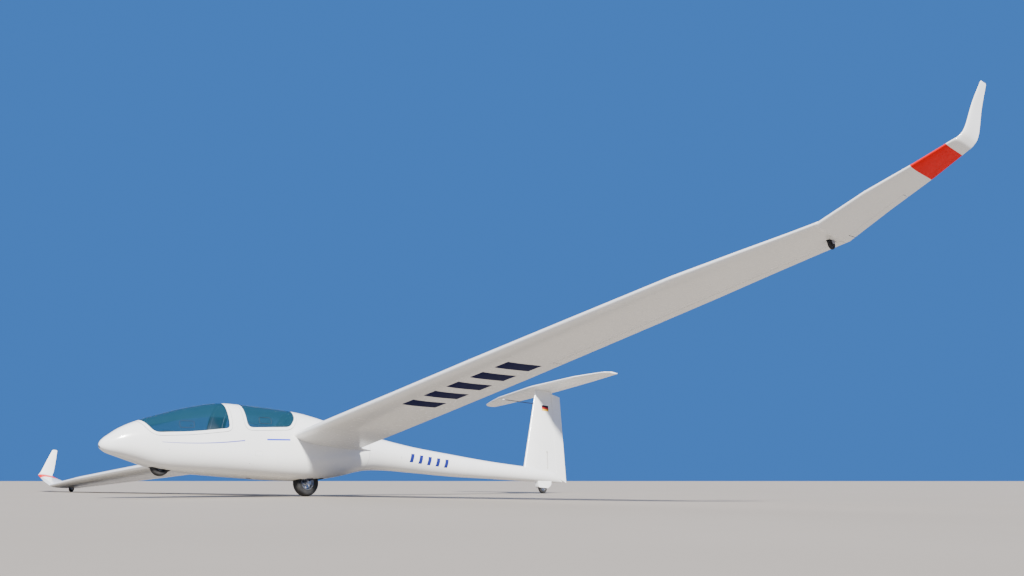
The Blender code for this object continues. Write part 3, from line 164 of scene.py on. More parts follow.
class Graph:
    """The node tree of one material, built in code."""

    def __init__(self, name: str) -> None:
        """Make the material with its Principled shader.

        Args:
            name: The material's name.
        """
        self.material = bpy.data.materials.new(name)
        self.material.use_nodes = True
        self.tree = self.material.node_tree
        self.shader = self.tree.nodes["Principled BSDF"]

    def node(self, kind: str, settings: dict[str, object], values: dict[int | str, object],
             output: int | str = 0) -> Wire:
        """Add a node.

        Args:
            kind: Blender's name of the node type.
            settings: The node's own options, set before its sockets.
            values: Numbers, tuples or wires for its input sockets.
            output: Which output to give back.

        Returns:
            The wire from that output.
        """
        made = self.tree.nodes.new(kind)
        for option, value in settings.items():
            setattr(made, option, value)
        for key, value in values.items():
            self._feed(made.inputs[key], value)
        return Wire(self, made.outputs[output])

    def _feed(self, socket: bpy.types.NodeSocket, value: object) -> None:
        """Link a wire to a socket or set the socket's own value.

        Args:
            socket: The input socket.
            value: A wire to link, or the socket's own value.
        """
        if isinstance(value, Wire):
            self.tree.links.new(value.socket, socket)
        elif isinstance(value, tuple) and len(value) == 3 and len(socket.default_value) == 4:
            socket.default_value = (*value, 1.0)
        else:
            socket.default_value = value

    def set(self, **inputs: object) -> None:
        """Set or link the shader's inputs, named with underscores for spaces."""
        for key, value in inputs.items():
            self._feed(self.shader.inputs[key.replace("_", " ")], value)

    def craft(self) -> tuple[Wire, Wire, Wire, Wire]:
        """Give the aircraft coordinates stored on the mesh, as a vector and its three parts.

        Returns:
            The whole vector, then its three parts.
        """
        place = self.node("ShaderNodeAttribute", {"attribute_name": "craft"}, {}, "Vector")
        parts = self.tree.nodes.new("ShaderNodeSeparateXYZ")
        self.tree.links.new(place.socket, parts.inputs[0])
        return (place, *(Wire(self, parts.outputs[i]) for i in range(3)))

    def local(self) -> Wire:
        """Give the piece's own coordinates."""
        return self.node("ShaderNodeTexCoord", {}, {}, "Object")

    def noise(self, place: Wire, scale: float, detail: float = 3.0, roughness: float = 0.55) -> Wire:
        """Give fractal noise from 0 to 1."""
        values = {"Vector": place, "Scale": scale, "Detail": detail, "Roughness": roughness}
        return self.node("ShaderNodeTexNoise", {}, values, "Fac")

    def stretched(self, place: Wire, factors: tuple[float, float, float]) -> Wire:
        """Scale the coordinates unevenly."""
        return self.node("ShaderNodeVectorMath", {"operation": "MULTIPLY"}, {0: place, 1: factors}, "Vector")

    def mix(self, share: object, first: object, second: object) -> Wire:
        """Blend two colours."""
        settings = {"data_type": "RGBA", "clamp_factor": True}
        return self.node("ShaderNodeMix", settings, {0: share, 6: first, 7: second}, 2)

    def bump(self, height: Wire, distance: float, strength: float = 1.0) -> Wire:
        """Turn a height into a normal."""
        values = {"Height": height, "Distance": distance, "Strength": strength}
        return self.node("ShaderNodeBump", {}, values, "Normal")


@dataclass(frozen=True)
class Finish:
    """One surface finish, made into a material the first time it is used."""

    name: str
    colour: Colour
    roughness: float

    def material(self) -> bpy.types.Material:
        """Give the finish's material, making it once.

        Returns:
            The material.
        """
        known = bpy.data.materials.get(self.name)
        if known is None:
            graph = Graph(self.name)
            self.dress(graph)
            known = graph.material
            known.diffuse_color = (*self.colour, 1.0)
        return known

    def shade(self, share: float, paler: float = 0.0) -> Colour:
        """Give the colour darkened to a share, or faded by a paler part."""
        return tuple(share * c + paler for c in self.colour)

    def clouded(self, graph: Graph, cloud: Wire, share: float) -> Wire:
        """Let the colour drift to a darker tone where the cloud is thick."""
        return graph.mix(cloud.between(0.30, 0.70), self.colour, self.shade(share))

    def dress(self, graph: Graph) -> None:
        """Set the shader's inputs."""
        graph.set(Base_Color=self.colour, Roughness=self.roughness)


@dataclass(frozen=True)
class Gelcoat(Finish):
    """Polished gelcoat over glass fibre: faint waviness, polish swirls and a little grime."""

    grime: float = 0.10
    coat: float = 0.35

    def dress(self, graph: Graph) -> None:
        """Set the shader's inputs.

        Args:
            graph: The material's node tree.
        """
        place, _, _, height = graph.craft()
        cloud = graph.noise(place, 1.7, 4.0)
        fine = graph.noise(place, 26.0, 5.0, 0.62)
        streaks = graph.noise(graph.stretched(place, (0.9, 9.0, 9.0)), 2.2, 4.0, 0.6)
        soil = streaks.between(0.52, 0.80) * 0.55 + fine.between(0.60, 0.78) * 0.30
        tone = self.clouded(graph, cloud, 0.965)
        dusty = tuple(c * w for c, w in zip(self.colour, (0.74, 0.70, 0.62)))
        graph.set(Base_Color=graph.mix(soil * self.grime * 1.6, tone, dusty))
        graph.set(Roughness=self.roughness + fine.between(0.3, 0.8) * 0.10 + soil * 0.12)
        graph.set(Coat_Weight=self.coat, Coat_Roughness=0.08, IOR=1.5)
        ripple = graph.noise(place, 3.1, 2.0, 0.4) + graph.noise(place, 240.0, 2.0, 0.5) * 0.006
        graph.set(Normal=graph.bump(ripple, 0.0035, 0.55))


@dataclass(frozen=True)
class Film(Finish):
    """Vinyl film or paint laid on the gelcoat, slightly uneven in gloss."""

    shine: float = 0.25

    def dress(self, graph: Graph) -> None:
        """Set the shader's inputs.

        Args:
            graph: The material's node tree.
        """
        place, *_ = graph.craft()
        cloud = graph.noise(place, 14.0, 4.0, 0.6)
        worn = graph.noise(place, 90.0, 4.0, 0.7).between(0.66, 0.80)
        tone = graph.mix(worn * 0.25, self.clouded(graph, cloud, 0.90), self.shade(0.8, 0.02))
        graph.set(Base_Color=tone, Roughness=self.roughness + cloud * 0.12)
        graph.set(Specular_IOR_Level=self.shine)
        graph.set(Normal=graph.bump(graph.noise(place, 60.0, 3.0), 0.0006, 0.4))


@dataclass(frozen=True)
class Acrylic(Finish):
    """Clear blue-green canopy acrylic, which mirrors more at a flat angle."""

    clear: float = 0.24

    def dress(self, graph: Graph) -> None:
        """Set the shader's inputs.

        Args:
            graph: The material's node tree.
        """
        place, *_ = graph.craft()
        facing = graph.node("ShaderNodeLayerWeight", {}, {"Blend": 0.32}, "Fresnel")
        haze = graph.noise(place, 5.0, 3.0)
        graph.set(Base_Color=graph.mix(haze, self.colour, self.shade(0.82)))
        graph.set(Alpha=facing * 0.52 + self.clear, Roughness=self.roughness + haze * 0.02)
        graph.set(Specular_IOR_Level=0.9, IOR=1.49, Coat_Weight=0.6, Coat_Roughness=0.02)
        graph.set(Normal=graph.bump(graph.noise(place, 2.2, 2.0), 0.004, 0.3))


@dataclass(frozen=True)
class Rubber(Finish):
    """Tyre rubber with moulding grain, scuffs and dust in the tread."""

    dust: float = 0.35

    def dress(self, graph: Graph) -> None:
        """Set the shader's inputs.

        Args:
            graph: The material's node tree.
        """
        place, *_ = graph.craft()
        grain = graph.noise(place, 420.0, 3.0, 0.7)
        cloud = graph.noise(place, 19.0, 5.0, 0.65)
        dusty = (0.115, 0.100, 0.082)
        share = cloud.between(0.42, 0.74) * self.dust
        graph.set(Base_Color=graph.mix(share, self.colour, dusty), Roughness=self.roughness + cloud * 0.12)
        graph.set(Normal=graph.bump(grain + cloud * 0.8, 0.0006, 0.7))


@dataclass(frozen=True)
class Metal(Finish):
    """Bare or plated metal with brushing, dull patches and grime."""

    brushed: float = 0.5
    grime: float = 0.25

    def dress(self, graph: Graph) -> None:
        """Set the shader's inputs.

        Args:
            graph: The material's node tree.
        """
        place, *_ = graph.craft()
        lines = graph.noise(graph.stretched(place, (30.0, 900.0, 900.0)), 1.0, 3.0, 0.6)
        cloud = graph.noise(place, 33.0, 5.0, 0.6)
        soil = cloud.between(0.48, 0.76)
        graph.set(Base_Color=graph.mix(soil * self.grime, self.colour, self.shade(0.35)))
        graph.set(Metallic=1.0 - soil * 0.35 * self.grime)
        graph.set(Roughness=self.roughness + lines * 0.16 * self.brushed + soil * 0.22)
        graph.set(Normal=graph.bump(lines, 0.0003, 0.4 * self.brushed))


@dataclass(frozen=True)
class Paint(Finish):
    """Satin paint or moulded plastic with a fine leathery grain."""

    grain: float = 0.4

    def dress(self, graph: Graph) -> None:
        """Set the shader's inputs.

        Args:
            graph: The material's node tree.
        """
        place, *_ = graph.craft()
        values = {"Vector": place, "Scale": 380.0}
        pores = graph.node("ShaderNodeTexVoronoi", {"feature": "F1"}, values, "Distance")
        cloud = graph.noise(place, 9.0, 4.0, 0.6)
        rubbed = graph.noise(place, 44.0, 5.0, 0.7).between(0.60, 0.80)
        tone = graph.mix(rubbed * 0.4, self.clouded(graph, cloud, 0.86), self.shade(0.75, 0.05))
        graph.set(Base_Color=tone, Roughness=self.roughness - rubbed * 0.10)
        graph.set(Normal=graph.bump(pores + cloud * 0.5, 0.0004, self.grain))


@dataclass(frozen=True)
class Weave(Finish):
    """Woven upholstery or webbing: crossing threads with soft fuzz."""

    threads: float = 620.0
    sheen: float = 0.35

    def dress(self, graph: Graph) -> None:
        """Set the shader's inputs.

        Args:
            graph: The material's node tree.
        """
        place, along, across, up = graph.craft()
        warp = (along * (self.threads * 2.0)).wave() * 0.5 + 0.5
        weft = ((across + up) * (self.threads * 2.0)).wave() * 0.5 + 0.5
        fuzz = graph.noise(place, 700.0, 3.0, 0.7)
        cloud = graph.noise(place, 12.0, 4.0, 0.6)
        knit = warp * weft + fuzz * 0.4
        tone = graph.mix(knit.between(0.1, 0.9), self.shade(0.62), self.colour)
        tone = graph.mix(cloud.between(0.45, 0.75) * 0.5, tone, self.shade(0.85, 0.05))
        graph.set(Base_Color=tone, Roughness=self.roughness)
        graph.set(Sheen_Weight=self.sheen, Sheen_Roughness=0.5)
        graph.set(Normal=graph.bump(knit, 0.0009, 0.8))


@dataclass(frozen=True)
class Concrete(Finish):
    """The pale plain floor, with a trace of cloudiness."""

    def dress(self, graph: Graph) -> None:
        """Set the shader's inputs.

        Args:
            graph: The material's node tree.
        """
        place = graph.local()
        cloud = graph.noise(place, 0.35, 4.0)
        fine = graph.noise(place, 9.0, 5.0, 0.6)
        tone = self.clouded(graph, cloud, 0.96)
        graph.set(Base_Color=graph.mix(fine.between(0.4, 0.8) * 0.3, tone, self.shade(0.93)))
        graph.set(Roughness=self.roughness, Normal=graph.bump(fine, 0.001, 0.15))


WHITE = Gelcoat("gelcoat_white", (0.79, 0.79, 0.765), 0.20)
SEAM = Film("seam_filler", (0.50, 0.50, 0.48), 0.45)
# Brownish colour for the thin tube round the fin slot: painted shade along the slot's edge.
SLOT_EDGE_SHADE = Film("slot_rim", (0.30, 0.25, 0.19), 0.45)
TAPE = Film("gap_tape", (0.86, 0.86, 0.85), 0.34)
RED = Film("tip_red", (0.74, 0.008, 0.008), 0.36, shine=0.06)
NAVY = Film("marking_navy", (0.008, 0.011, 0.060), 0.45, shine=0.02)
BOOM_BLUE = Film("marking_blue", (0.016, 0.024, 0.17), 0.40, shine=0.05)
BLUE = Film("stripe_blue", (0.020, 0.055, 0.60), 0.30, shine=0.10)
VIOLET = Film("stripe_violet", (0.075, 0.075, 0.45), 0.30, shine=0.10)
BLACK_BAND = Film("band_black", (0.012, 0.012, 0.014), 0.30)
RED_BAND = Film("band_red", (0.42, 0.018, 0.016), 0.30)
GOLD_BAND = Film("band_gold", (0.80, 0.46, 0.03), 0.30)
OUTLINE = Film("band_outline", (0.70, 0.70, 0.69), 0.30)
GLASS = Acrylic("canopy_acrylic", (0.016, 0.060, 0.090), 0.03)
TYRE = Rubber("tyre_rubber", (0.010, 0.010, 0.011), 0.74, dust=0.22)
SEAL = Rubber("rubber_seal", (0.018, 0.018, 0.020), 0.60, dust=0.10)
ALLOY = Metal("wheel_alloy", (0.52, 0.53, 0.55), 0.32, brushed=0.6)
STEEL = Metal("plain_steel", (0.33, 0.33, 0.35), 0.36, brushed=0.8, grime=0.5)
BOLT = Metal("bolt_steel", (0.45, 0.44, 0.42), 0.30, brushed=0.3)
DARK_STEEL = Metal("dark_steel", (0.06, 0.06, 0.065), 0.42, brushed=0.4, grime=0.5)
LINING = Paint("cockpit_lining", (0.115, 0.12, 0.13), 0.62)
# Near-black on the faces of every opening, gap, slot and bore: painted shade for the dark inside these
# hollows.
RECESS_SHADE = Paint("wheel_well_paint", (0.045, 0.045, 0.048), 0.75)
PANEL = Paint("panel_black", (0.018, 0.018, 0.020), 0.58)
GRIP = Paint("stick_grip", (0.016, 0.016, 0.018), 0.70, grain=1.0)
CUSHION = Weave("seat_cloth", (0.045, 0.085, 0.20), 0.92)
WEBBING = Weave("harness_webbing", (0.022, 0.030, 0.075), 0.80, threads=900.0)
DIAL = Film("dial_face", (0.008, 0.008, 0.009), 0.25)
DIAL_WHITE = Film("dial_marks", (0.85, 0.85, 0.83), 0.45)
DIAL_YELLOW = Film("dial_needle", (0.85, 0.55, 0.03), 0.45)
KNOB_YELLOW = Paint("knob_yellow", (0.80, 0.52, 0.02), 0.40, grain=0.1)
KNOB_BLUE = Paint("knob_blue", (0.03, 0.10, 0.42), 0.40, grain=0.1)
KNOB_RED = Paint("knob_red", (0.55, 0.02, 0.015), 0.40, grain=0.1)
KNOB_WHITE = Paint("knob_white", (0.75, 0.75, 0.73), 0.40, grain=0.1)
KNOB_GREEN = Paint("knob_green", (0.03, 0.30, 0.08), 0.40, grain=0.1)
FLOOR = Concrete("studio_floor", (0.260, 0.226, 0.184), 0.80)


class Shape:
    """A solid under construction in the aircraft's own coordinates."""

    workshop: list[bpy.types.Object] = []

    def __init__(self, name: str, bm: bmesh.types.BMesh, finish: Finish) -> None:
        """Turn a bmesh into an object in the workshop.

        Args:
            name: The piece's name.
            bm: Its faces, used up here.
            finish: What all its faces are dressed in.
        """
        bmesh.ops.recalc_face_normals(bm, faces=bm.faces)
        mesh = bpy.data.meshes.new(name)
        bm.to_mesh(mesh)
        bm.free()
        mesh.materials.append(finish.material())
        self.piece = bpy.data.objects.new(name, mesh)
        bpy.context.scene.collection.objects.link(self.piece)
        Shape.workshop.append(self.piece)

    def combine(self, step: Step, tools: Iterable["Shape"]) -> "Shape":
        """Add one exact Boolean for each tool.

        Args:
            step: How they are combined.
            tools: The other solids.

        Returns:
            This shape.
        """
        for tool in tools:
            change = self.piece.modifiers.new(tool.piece.name, "BOOLEAN")
            change.operation = step.value
            change.solver = "EXACT"
            change.object = tool.piece
            change.material_mode = "TRANSFER"
        return self

    def cut(self, *tools: "Shape") -> "Shape":
        """Take each tool's volume away."""
        return self.combine(Step.CUT, tools)

    def join(self, *tools: "Shape") -> "Shape":
        """Add each tool's volume."""
        return self.combine(Step.JOIN, tools)

    def keep(self, *tools: "Shape") -> "Shape":
        """Keep only what lies inside each tool."""
        return self.combine(Step.KEEP, tools)

    def bevel(self, width: float, segments: int = 2, angle: float = 40.0) -> "Shape":
        """Round the edges that are sharper than the angle in degrees.

        Args:
            width: How wide the rounding is.
            segments: How many flats it has.
            angle: How sharp an edge has to be.

        Returns:
            This shape.
        """
        change = self.piece.modifiers.new("rounding", "BEVEL")
        change.width = width
        change.segments = segments
        change.limit_method = "ANGLE"
        change.angle_limit = math.radians(angle)
        change.harden_normals = False
        return self

    def soften(self, levels: int = 2) -> "Shape":
        """Subdivide a coarse cage into a smooth form.

        Args:
            levels: How often it is divided.

        Returns:
            This shape.
        """
        change = self.piece.modifiers.new("softening", "SUBSURF")
        change.levels = levels
        change.render_levels = levels
        return self

    def settle_modifiers(self) -> None:
        """Apply the modifiers to the mesh."""
        if not self.piece.modifiers:
            return
        depsgraph = bpy.context.evaluated_depsgraph_get()
        mesh = bpy.data.meshes.new_from_object(self.piece.evaluated_get(depsgraph))
        self.piece.modifiers.clear()
        self.piece.data = mesh

    @classmethod
    def clear_workshop(cls) -> None:
        """Remove the tools that were never set down."""
        for tool in cls.workshop:
            bpy.data.objects.remove(tool, do_unlink=True)
        cls.workshop.clear()


def loft_mesh(rings: Sequence[Ring], closed_ends: bool = True) -> bmesh.types.BMesh:
    """Skin rings of equal count.

    Args:
        rings: The sections, each a closed ring of points.
        closed_ends: Whether the first and last ring are capped.

    Returns:
        The skinned form.
    """
    bm = bmesh.new()
    made = [[bm.verts.new(point) for point in ring] for ring in rings]
    count = len(rings[0])
    for near, far in zip(made, made[1:]):
        for i in range(count):
            j = (i + 1) % count
            bm.faces.new((near[i], near[j], far[j], far[i]))
    if closed_ends:
        bm.faces.new(made[0])
        bm.faces.new(made[-1])
    return bm


def loft(name: str, rings: Sequence[Ring], finish: Finish) -> Shape:
    """Skin rings into one closed solid."""
    return Shape(name, loft_mesh(rings), finish)


def prism(name: str, outline: Sequence[Point], near: float, far: float, finish: Finish) -> Shape:
    """Extrude a side view of stations and heights across the aircraft."""
    return loft(name, [[at(station, y, z) for station, z in outline] for y in (near, far)], finish)


def box(name: str, low: Sequence[float], high: Sequence[float], finish: Finish) -> Shape:
    """Make a box between two corners, each a station, y and z.

    Args:
        name: The piece's name.
        low: Its lowest corner.
        high: Its highest corner.
        finish: What it is dressed in.

    Returns:
        The box.
    """
    bm = bmesh.new()
    bmesh.ops.create_cube(bm, size=1.0)
    size = [h - w for w, h in zip(low, high)]
    bmesh.ops.scale(bm, vec=size, verts=bm.verts)
    bmesh.ops.translate(bm, vec=at(*[(w + h) / 2.0 for w, h in zip(low, high)]), verts=bm.verts)
    return Shape(name, bm, finish)


def rod(name: str, start: Vector, end: Vector, radius: float, finish: Finish, end_radius: float | None = None,
        segments: int = 24) -> Shape:
    """Make a round bar or cone between two points.

    Args:
        name: The piece's name.
        start: The middle of one end.
        end: The middle of the other end.
        radius: Its radius at the start.
        finish: What it is dressed in.
        end_radius: Its radius at the end, where it differs.
        segments: How many flats it has round its axis.

    Returns:
        The bar.
    """
    axis = end - start
    bm = bmesh.new()
    bmesh.ops.create_cone(bm, cap_ends=True, segments=segments, radius1=radius,
                          radius2=radius if end_radius is None else end_radius, depth=axis.length)
    turn = UP.rotation_difference(axis.normalized()).to_matrix().to_4x4()
    bmesh.ops.transform(bm, matrix=Matrix.Translation((start + end) / 2.0) @ turn, verts=bm.verts)
    return Shape(name, bm, finish)


def turned(name: str, centre: Vector, axis: Vector, profile: Sequence[Point], finish: Finish,
           segments: int = 72) -> Shape:
    """Turn a closed profile of radius and offset round an axis.

    Args:
        name: The piece's name.
        centre: A point on the axis.
        axis: The axis.
        profile: Each corner's radius and its offset along the axis.
        finish: What it is dressed in.
        segments: How many flats it has round its axis.

    Returns:
        The turned solid.
    """
    axis = axis.normalized()
    first = (UP if abs(axis.z) < 0.9 else PORT).cross(axis).normalized()
    second = axis.cross(first)
    bm = bmesh.new()
    loops = []
    for i in range(segments):
        angle = math.tau * i / segments
        outward = first * math.cos(angle) + second * math.sin(angle)
        loops.append([bm.verts.new(centre + outward * radius + axis * offset) for radius, offset in profile])
    for i, near in enumerate(loops):
        far = loops[(i + 1) % segments]
        for j in range(len(profile)):
            k = (j + 1) % len(profile)
            bm.faces.new((near[j], near[k], far[k], far[j]))
    return Shape(name, bm, finish)


def merged(name: str, shapes: Sequence[Shape], finish: Finish) -> Shape:
    """Gather several solids that may touch or overlap into one piece.

    Args:
        name: The piece's name.
        shapes: The solids, which keep their finishes.
        finish: The first solid's finish.

    Returns:
        The piece.
    """
    bm = bmesh.new()
    finishes: list[bpy.types.Material] = []
    for shape in shapes:
        shape.settle_modifiers()
        mesh = shape.piece.data
        slots = []
        for made in mesh.materials:
            if made not in finishes:
                finishes.append(made)
            slots.append(finishes.index(made))
        before = len(bm.faces)
        bm.from_mesh(mesh)
        bm.faces.ensure_lookup_table()
        for face in bm.faces[before:]:
            face.material_index = slots[face.material_index]
    piece = Shape(name, bm, finish)
    dressed = piece.piece.data.materials
    dressed[0] = finishes[0]
    for made in finishes[1:]:
        dressed.append(made)
    return piece


def tube(name: str, route: Sequence[Vector], radius: float, finish: Finish, segments: int = 14) -> Shape:
    """Sweep a round section along a route.

    Args:
        name: The piece's name.
        route: The middle of each section.
        radius: Its radius.
        finish: What it is dressed in.
        segments: How many flats it has round its axis.

    Returns:
        The tube.
    """
    rings = []
    across = (route[1] - route[0]).orthogonal()
    for i, point in enumerate(route):
        along = (route[min(i + 1, len(route) - 1)] - route[max(i - 1, 0)]).normalized()
        across = (across - along * along.dot(across)).normalized()
        beside = along.cross(across)
        angles = [math.tau * k / segments for k in range(segments)]
        rings.append([point + (across * math.cos(a) + beside * math.sin(a)) * radius for a in angles])
    return loft(name, rings, finish)


def strap(name: str, route: Sequence[Vector], normals: Sequence[Vector], width: float, thickness: float,
          finish: Finish) -> Shape:
    """Sweep a flat webbing section along a route that lies on a surface.

    Args:
        name: The piece's name.
        route: Points on the surface.
        normals: The surface's normal at each.
        width: The webbing's width.
        thickness: The webbing's thickness.
        finish: What it is dressed in.

    Returns:
        The strap.
    """
    rings = []
    for i, (point, normal) in enumerate(zip(route, normals)):
        along = (route[min(i + 1, len(route) - 1)] - route[max(i - 1, 0)]).normalized()
        across = along.cross(normal).normalized()
        out = across.cross(along).normalized()
        half, lift = across * (width / 2.0), out * thickness
        crown = point + out * thickness * 1.25
        rings.append([point - half, point + half, point + half + lift, crown, point - half + lift])
    return loft(name, rings, finish)


def inset(outline: Sequence[Point], distance: float) -> list[Point]:
    """Move each side of a closed outline inwards and meet them again at the corners.

    Args:
        outline: The corners in order.
        distance: How far each side moves.

    Returns:
        The new corners.
    """
    closed = list(zip(outline, [*outline[1:], outline[0]]))
    sign = math.copysign(1.0, sum(a[0] * b[1] - b[0] * a[1] for a, b in closed))
    lines = []
    for a, b in closed:
        run = Vector((b[0] - a[0], b[1] - a[1])).normalized()
        lines.append((Vector(a) + Vector((-run.y, run.x)) * sign * distance, run))
    corners = []
    for (p, d), (q, e) in zip([lines[-1], *lines[:-1]], lines):
        share = ((q.x - p.x) * e.y - (q.y - p.y) * e.x) / (d.x * e.y - d.y * e.x)
        corners.append(tuple(p + d * share))
    return corners


def rounded(outline: Sequence[Point], radii: Sequence[float], steps: int = 8) -> list[Point]:
    """Round each corner of a closed outline with a curve of chords that starts so far from it.

    Args:
        outline: The corners in order.
        radii: How far from each corner its curve starts.
        steps: How many chords a corner gets.

    Returns:
        The points in order.
    """
    count = len(outline)
    points = []
    most = 0.48
    for i, radius in enumerate(radii):
        corner = Vector(outline[i])
        before, after = Vector(outline[i - 1]) - corner, Vector(outline[(i + 1) % count]) - corner
        reach = min(radius, before.length * most, after.length * most)
        start, end = corner + before.normalized() * reach, corner + after.normalized() * reach
        for k in range(steps + 1):
            t = k / steps
            points.append(tuple(start * (1 - t) ** 2 + corner * 2 * t * (1 - t) + end * t**2))
    return points


def spaced(start: float, end: float, step: float) -> list[float]:
    """Give even values from start to end, no further apart than the step."""
    count = max(1, math.ceil((end - start) / step))
    return [start + (end - start) * i / count for i in range(count + 1)]


def read_between(rows: Sequence[Sequence[float]], place: float) -> list[float]:
    """Read a table between two of its rows, each led by its own place.

    Args:
        rows: The table, in rising order.
        place: Where it is read.

    Returns:
        The row there.
    """
    i = max(k for k in range(len(rows) - 1) if rows[k][0] <= place)
    share = (place - rows[i][0]) / (rows[i + 1][0] - rows[i][0])
    return [a + share * (b - a) for a, b in zip(rows[i], rows[i + 1])]


def smoothly(a: Bend, b: Bend, c: Bend, d: Bend, t: float) -> Bend:
    """Run from b to c on a curve that heads from a and on to d."""
    return (2 * b + (c - a) * t + (2 * a - 5 * b + 4 * c - d) * t**2
            + (3 * b - a - 3 * c + d) * t**3) * 0.5


def around(station: float, z: float, corners: Iterable[Point]) -> list[Point]:
    """Put an outline given from its middle in its place."""
    return [(station + s, z + h) for s, h in corners]


@dataclass
class Craft:
    """Where the level aircraft stands in the frame, worked out from its wheels."""

    main_wheel: tuple[float, float, float] = (3.02, 0.0, -0.235)
    tail_wheel: tuple[float, float, float] = (7.93, 0.0, -0.025)
    joints: list[dict] = field(default_factory=list)

    def __post_init__(self) -> None:
        """Fit the aircraft's axes to the main and tail wheels' hinges."""
        places = {j["name"]: j for j in self.joints}
        main, tail = places["main_wheel_spin"], places["tail_wheel_spin"]
        port = Vector(main["axis"]).normalized()
        span = Vector(main["pos_m"]) - Vector(tail["pos_m"])
        forward = span.normalized()
        level = at(*self.main_wheel) - at(*self.tail_wheel)
        slope = math.atan2(level.z, level.x)
        up = forward.cross(port)
        nose = forward * math.cos(slope) - up * math.sin(slope)
        top = forward * math.sin(slope) + up * math.cos(slope)
        turn = Matrix((nose, port, top)).transposed()
        shift = Vector(main["pos_m"]) - turn @ at(*self.main_wheel)
        self.matrix = Matrix.Translation(shift) @ turn.to_4x4()

    def set_down(self, shape: Shape, body: str, slot: str, *nodes: str,
                 sharp: float = 35.0) -> bpy.types.Object:
        """Finish a piece and let it ride.

        Args:
            shape: The solid in the aircraft's coordinates.
            body: The frame's body that it moves with.
            slot: The record's material slot; not used.
            nodes: CAD nodes that it stands for.
            sharp: Edges sharper than this angle in degrees stay sharp.

        Returns:
            The piece.
        """
        shape.settle_modifiers()
        piece = shape.piece
        if piece in Shape.workshop:
            Shape.workshop.remove(piece)
        mesh = piece.data
        craft = mesh.attributes.new("craft", "FLOAT_VECTOR", "POINT")
        for vertex in mesh.vertices:
            craft.data[vertex.index].vector = (-vertex.co.x, vertex.co.y, vertex.co.z)
        mesh.transform(self.matrix)
        mesh.shade_smooth()
        mesh.set_sharp_from_angle(angle=math.radians(sharp))
        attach(piece, body)
        if nodes:
            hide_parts(*nodes)
        log.info("%s rides on %s", piece.name, body)
        return piece


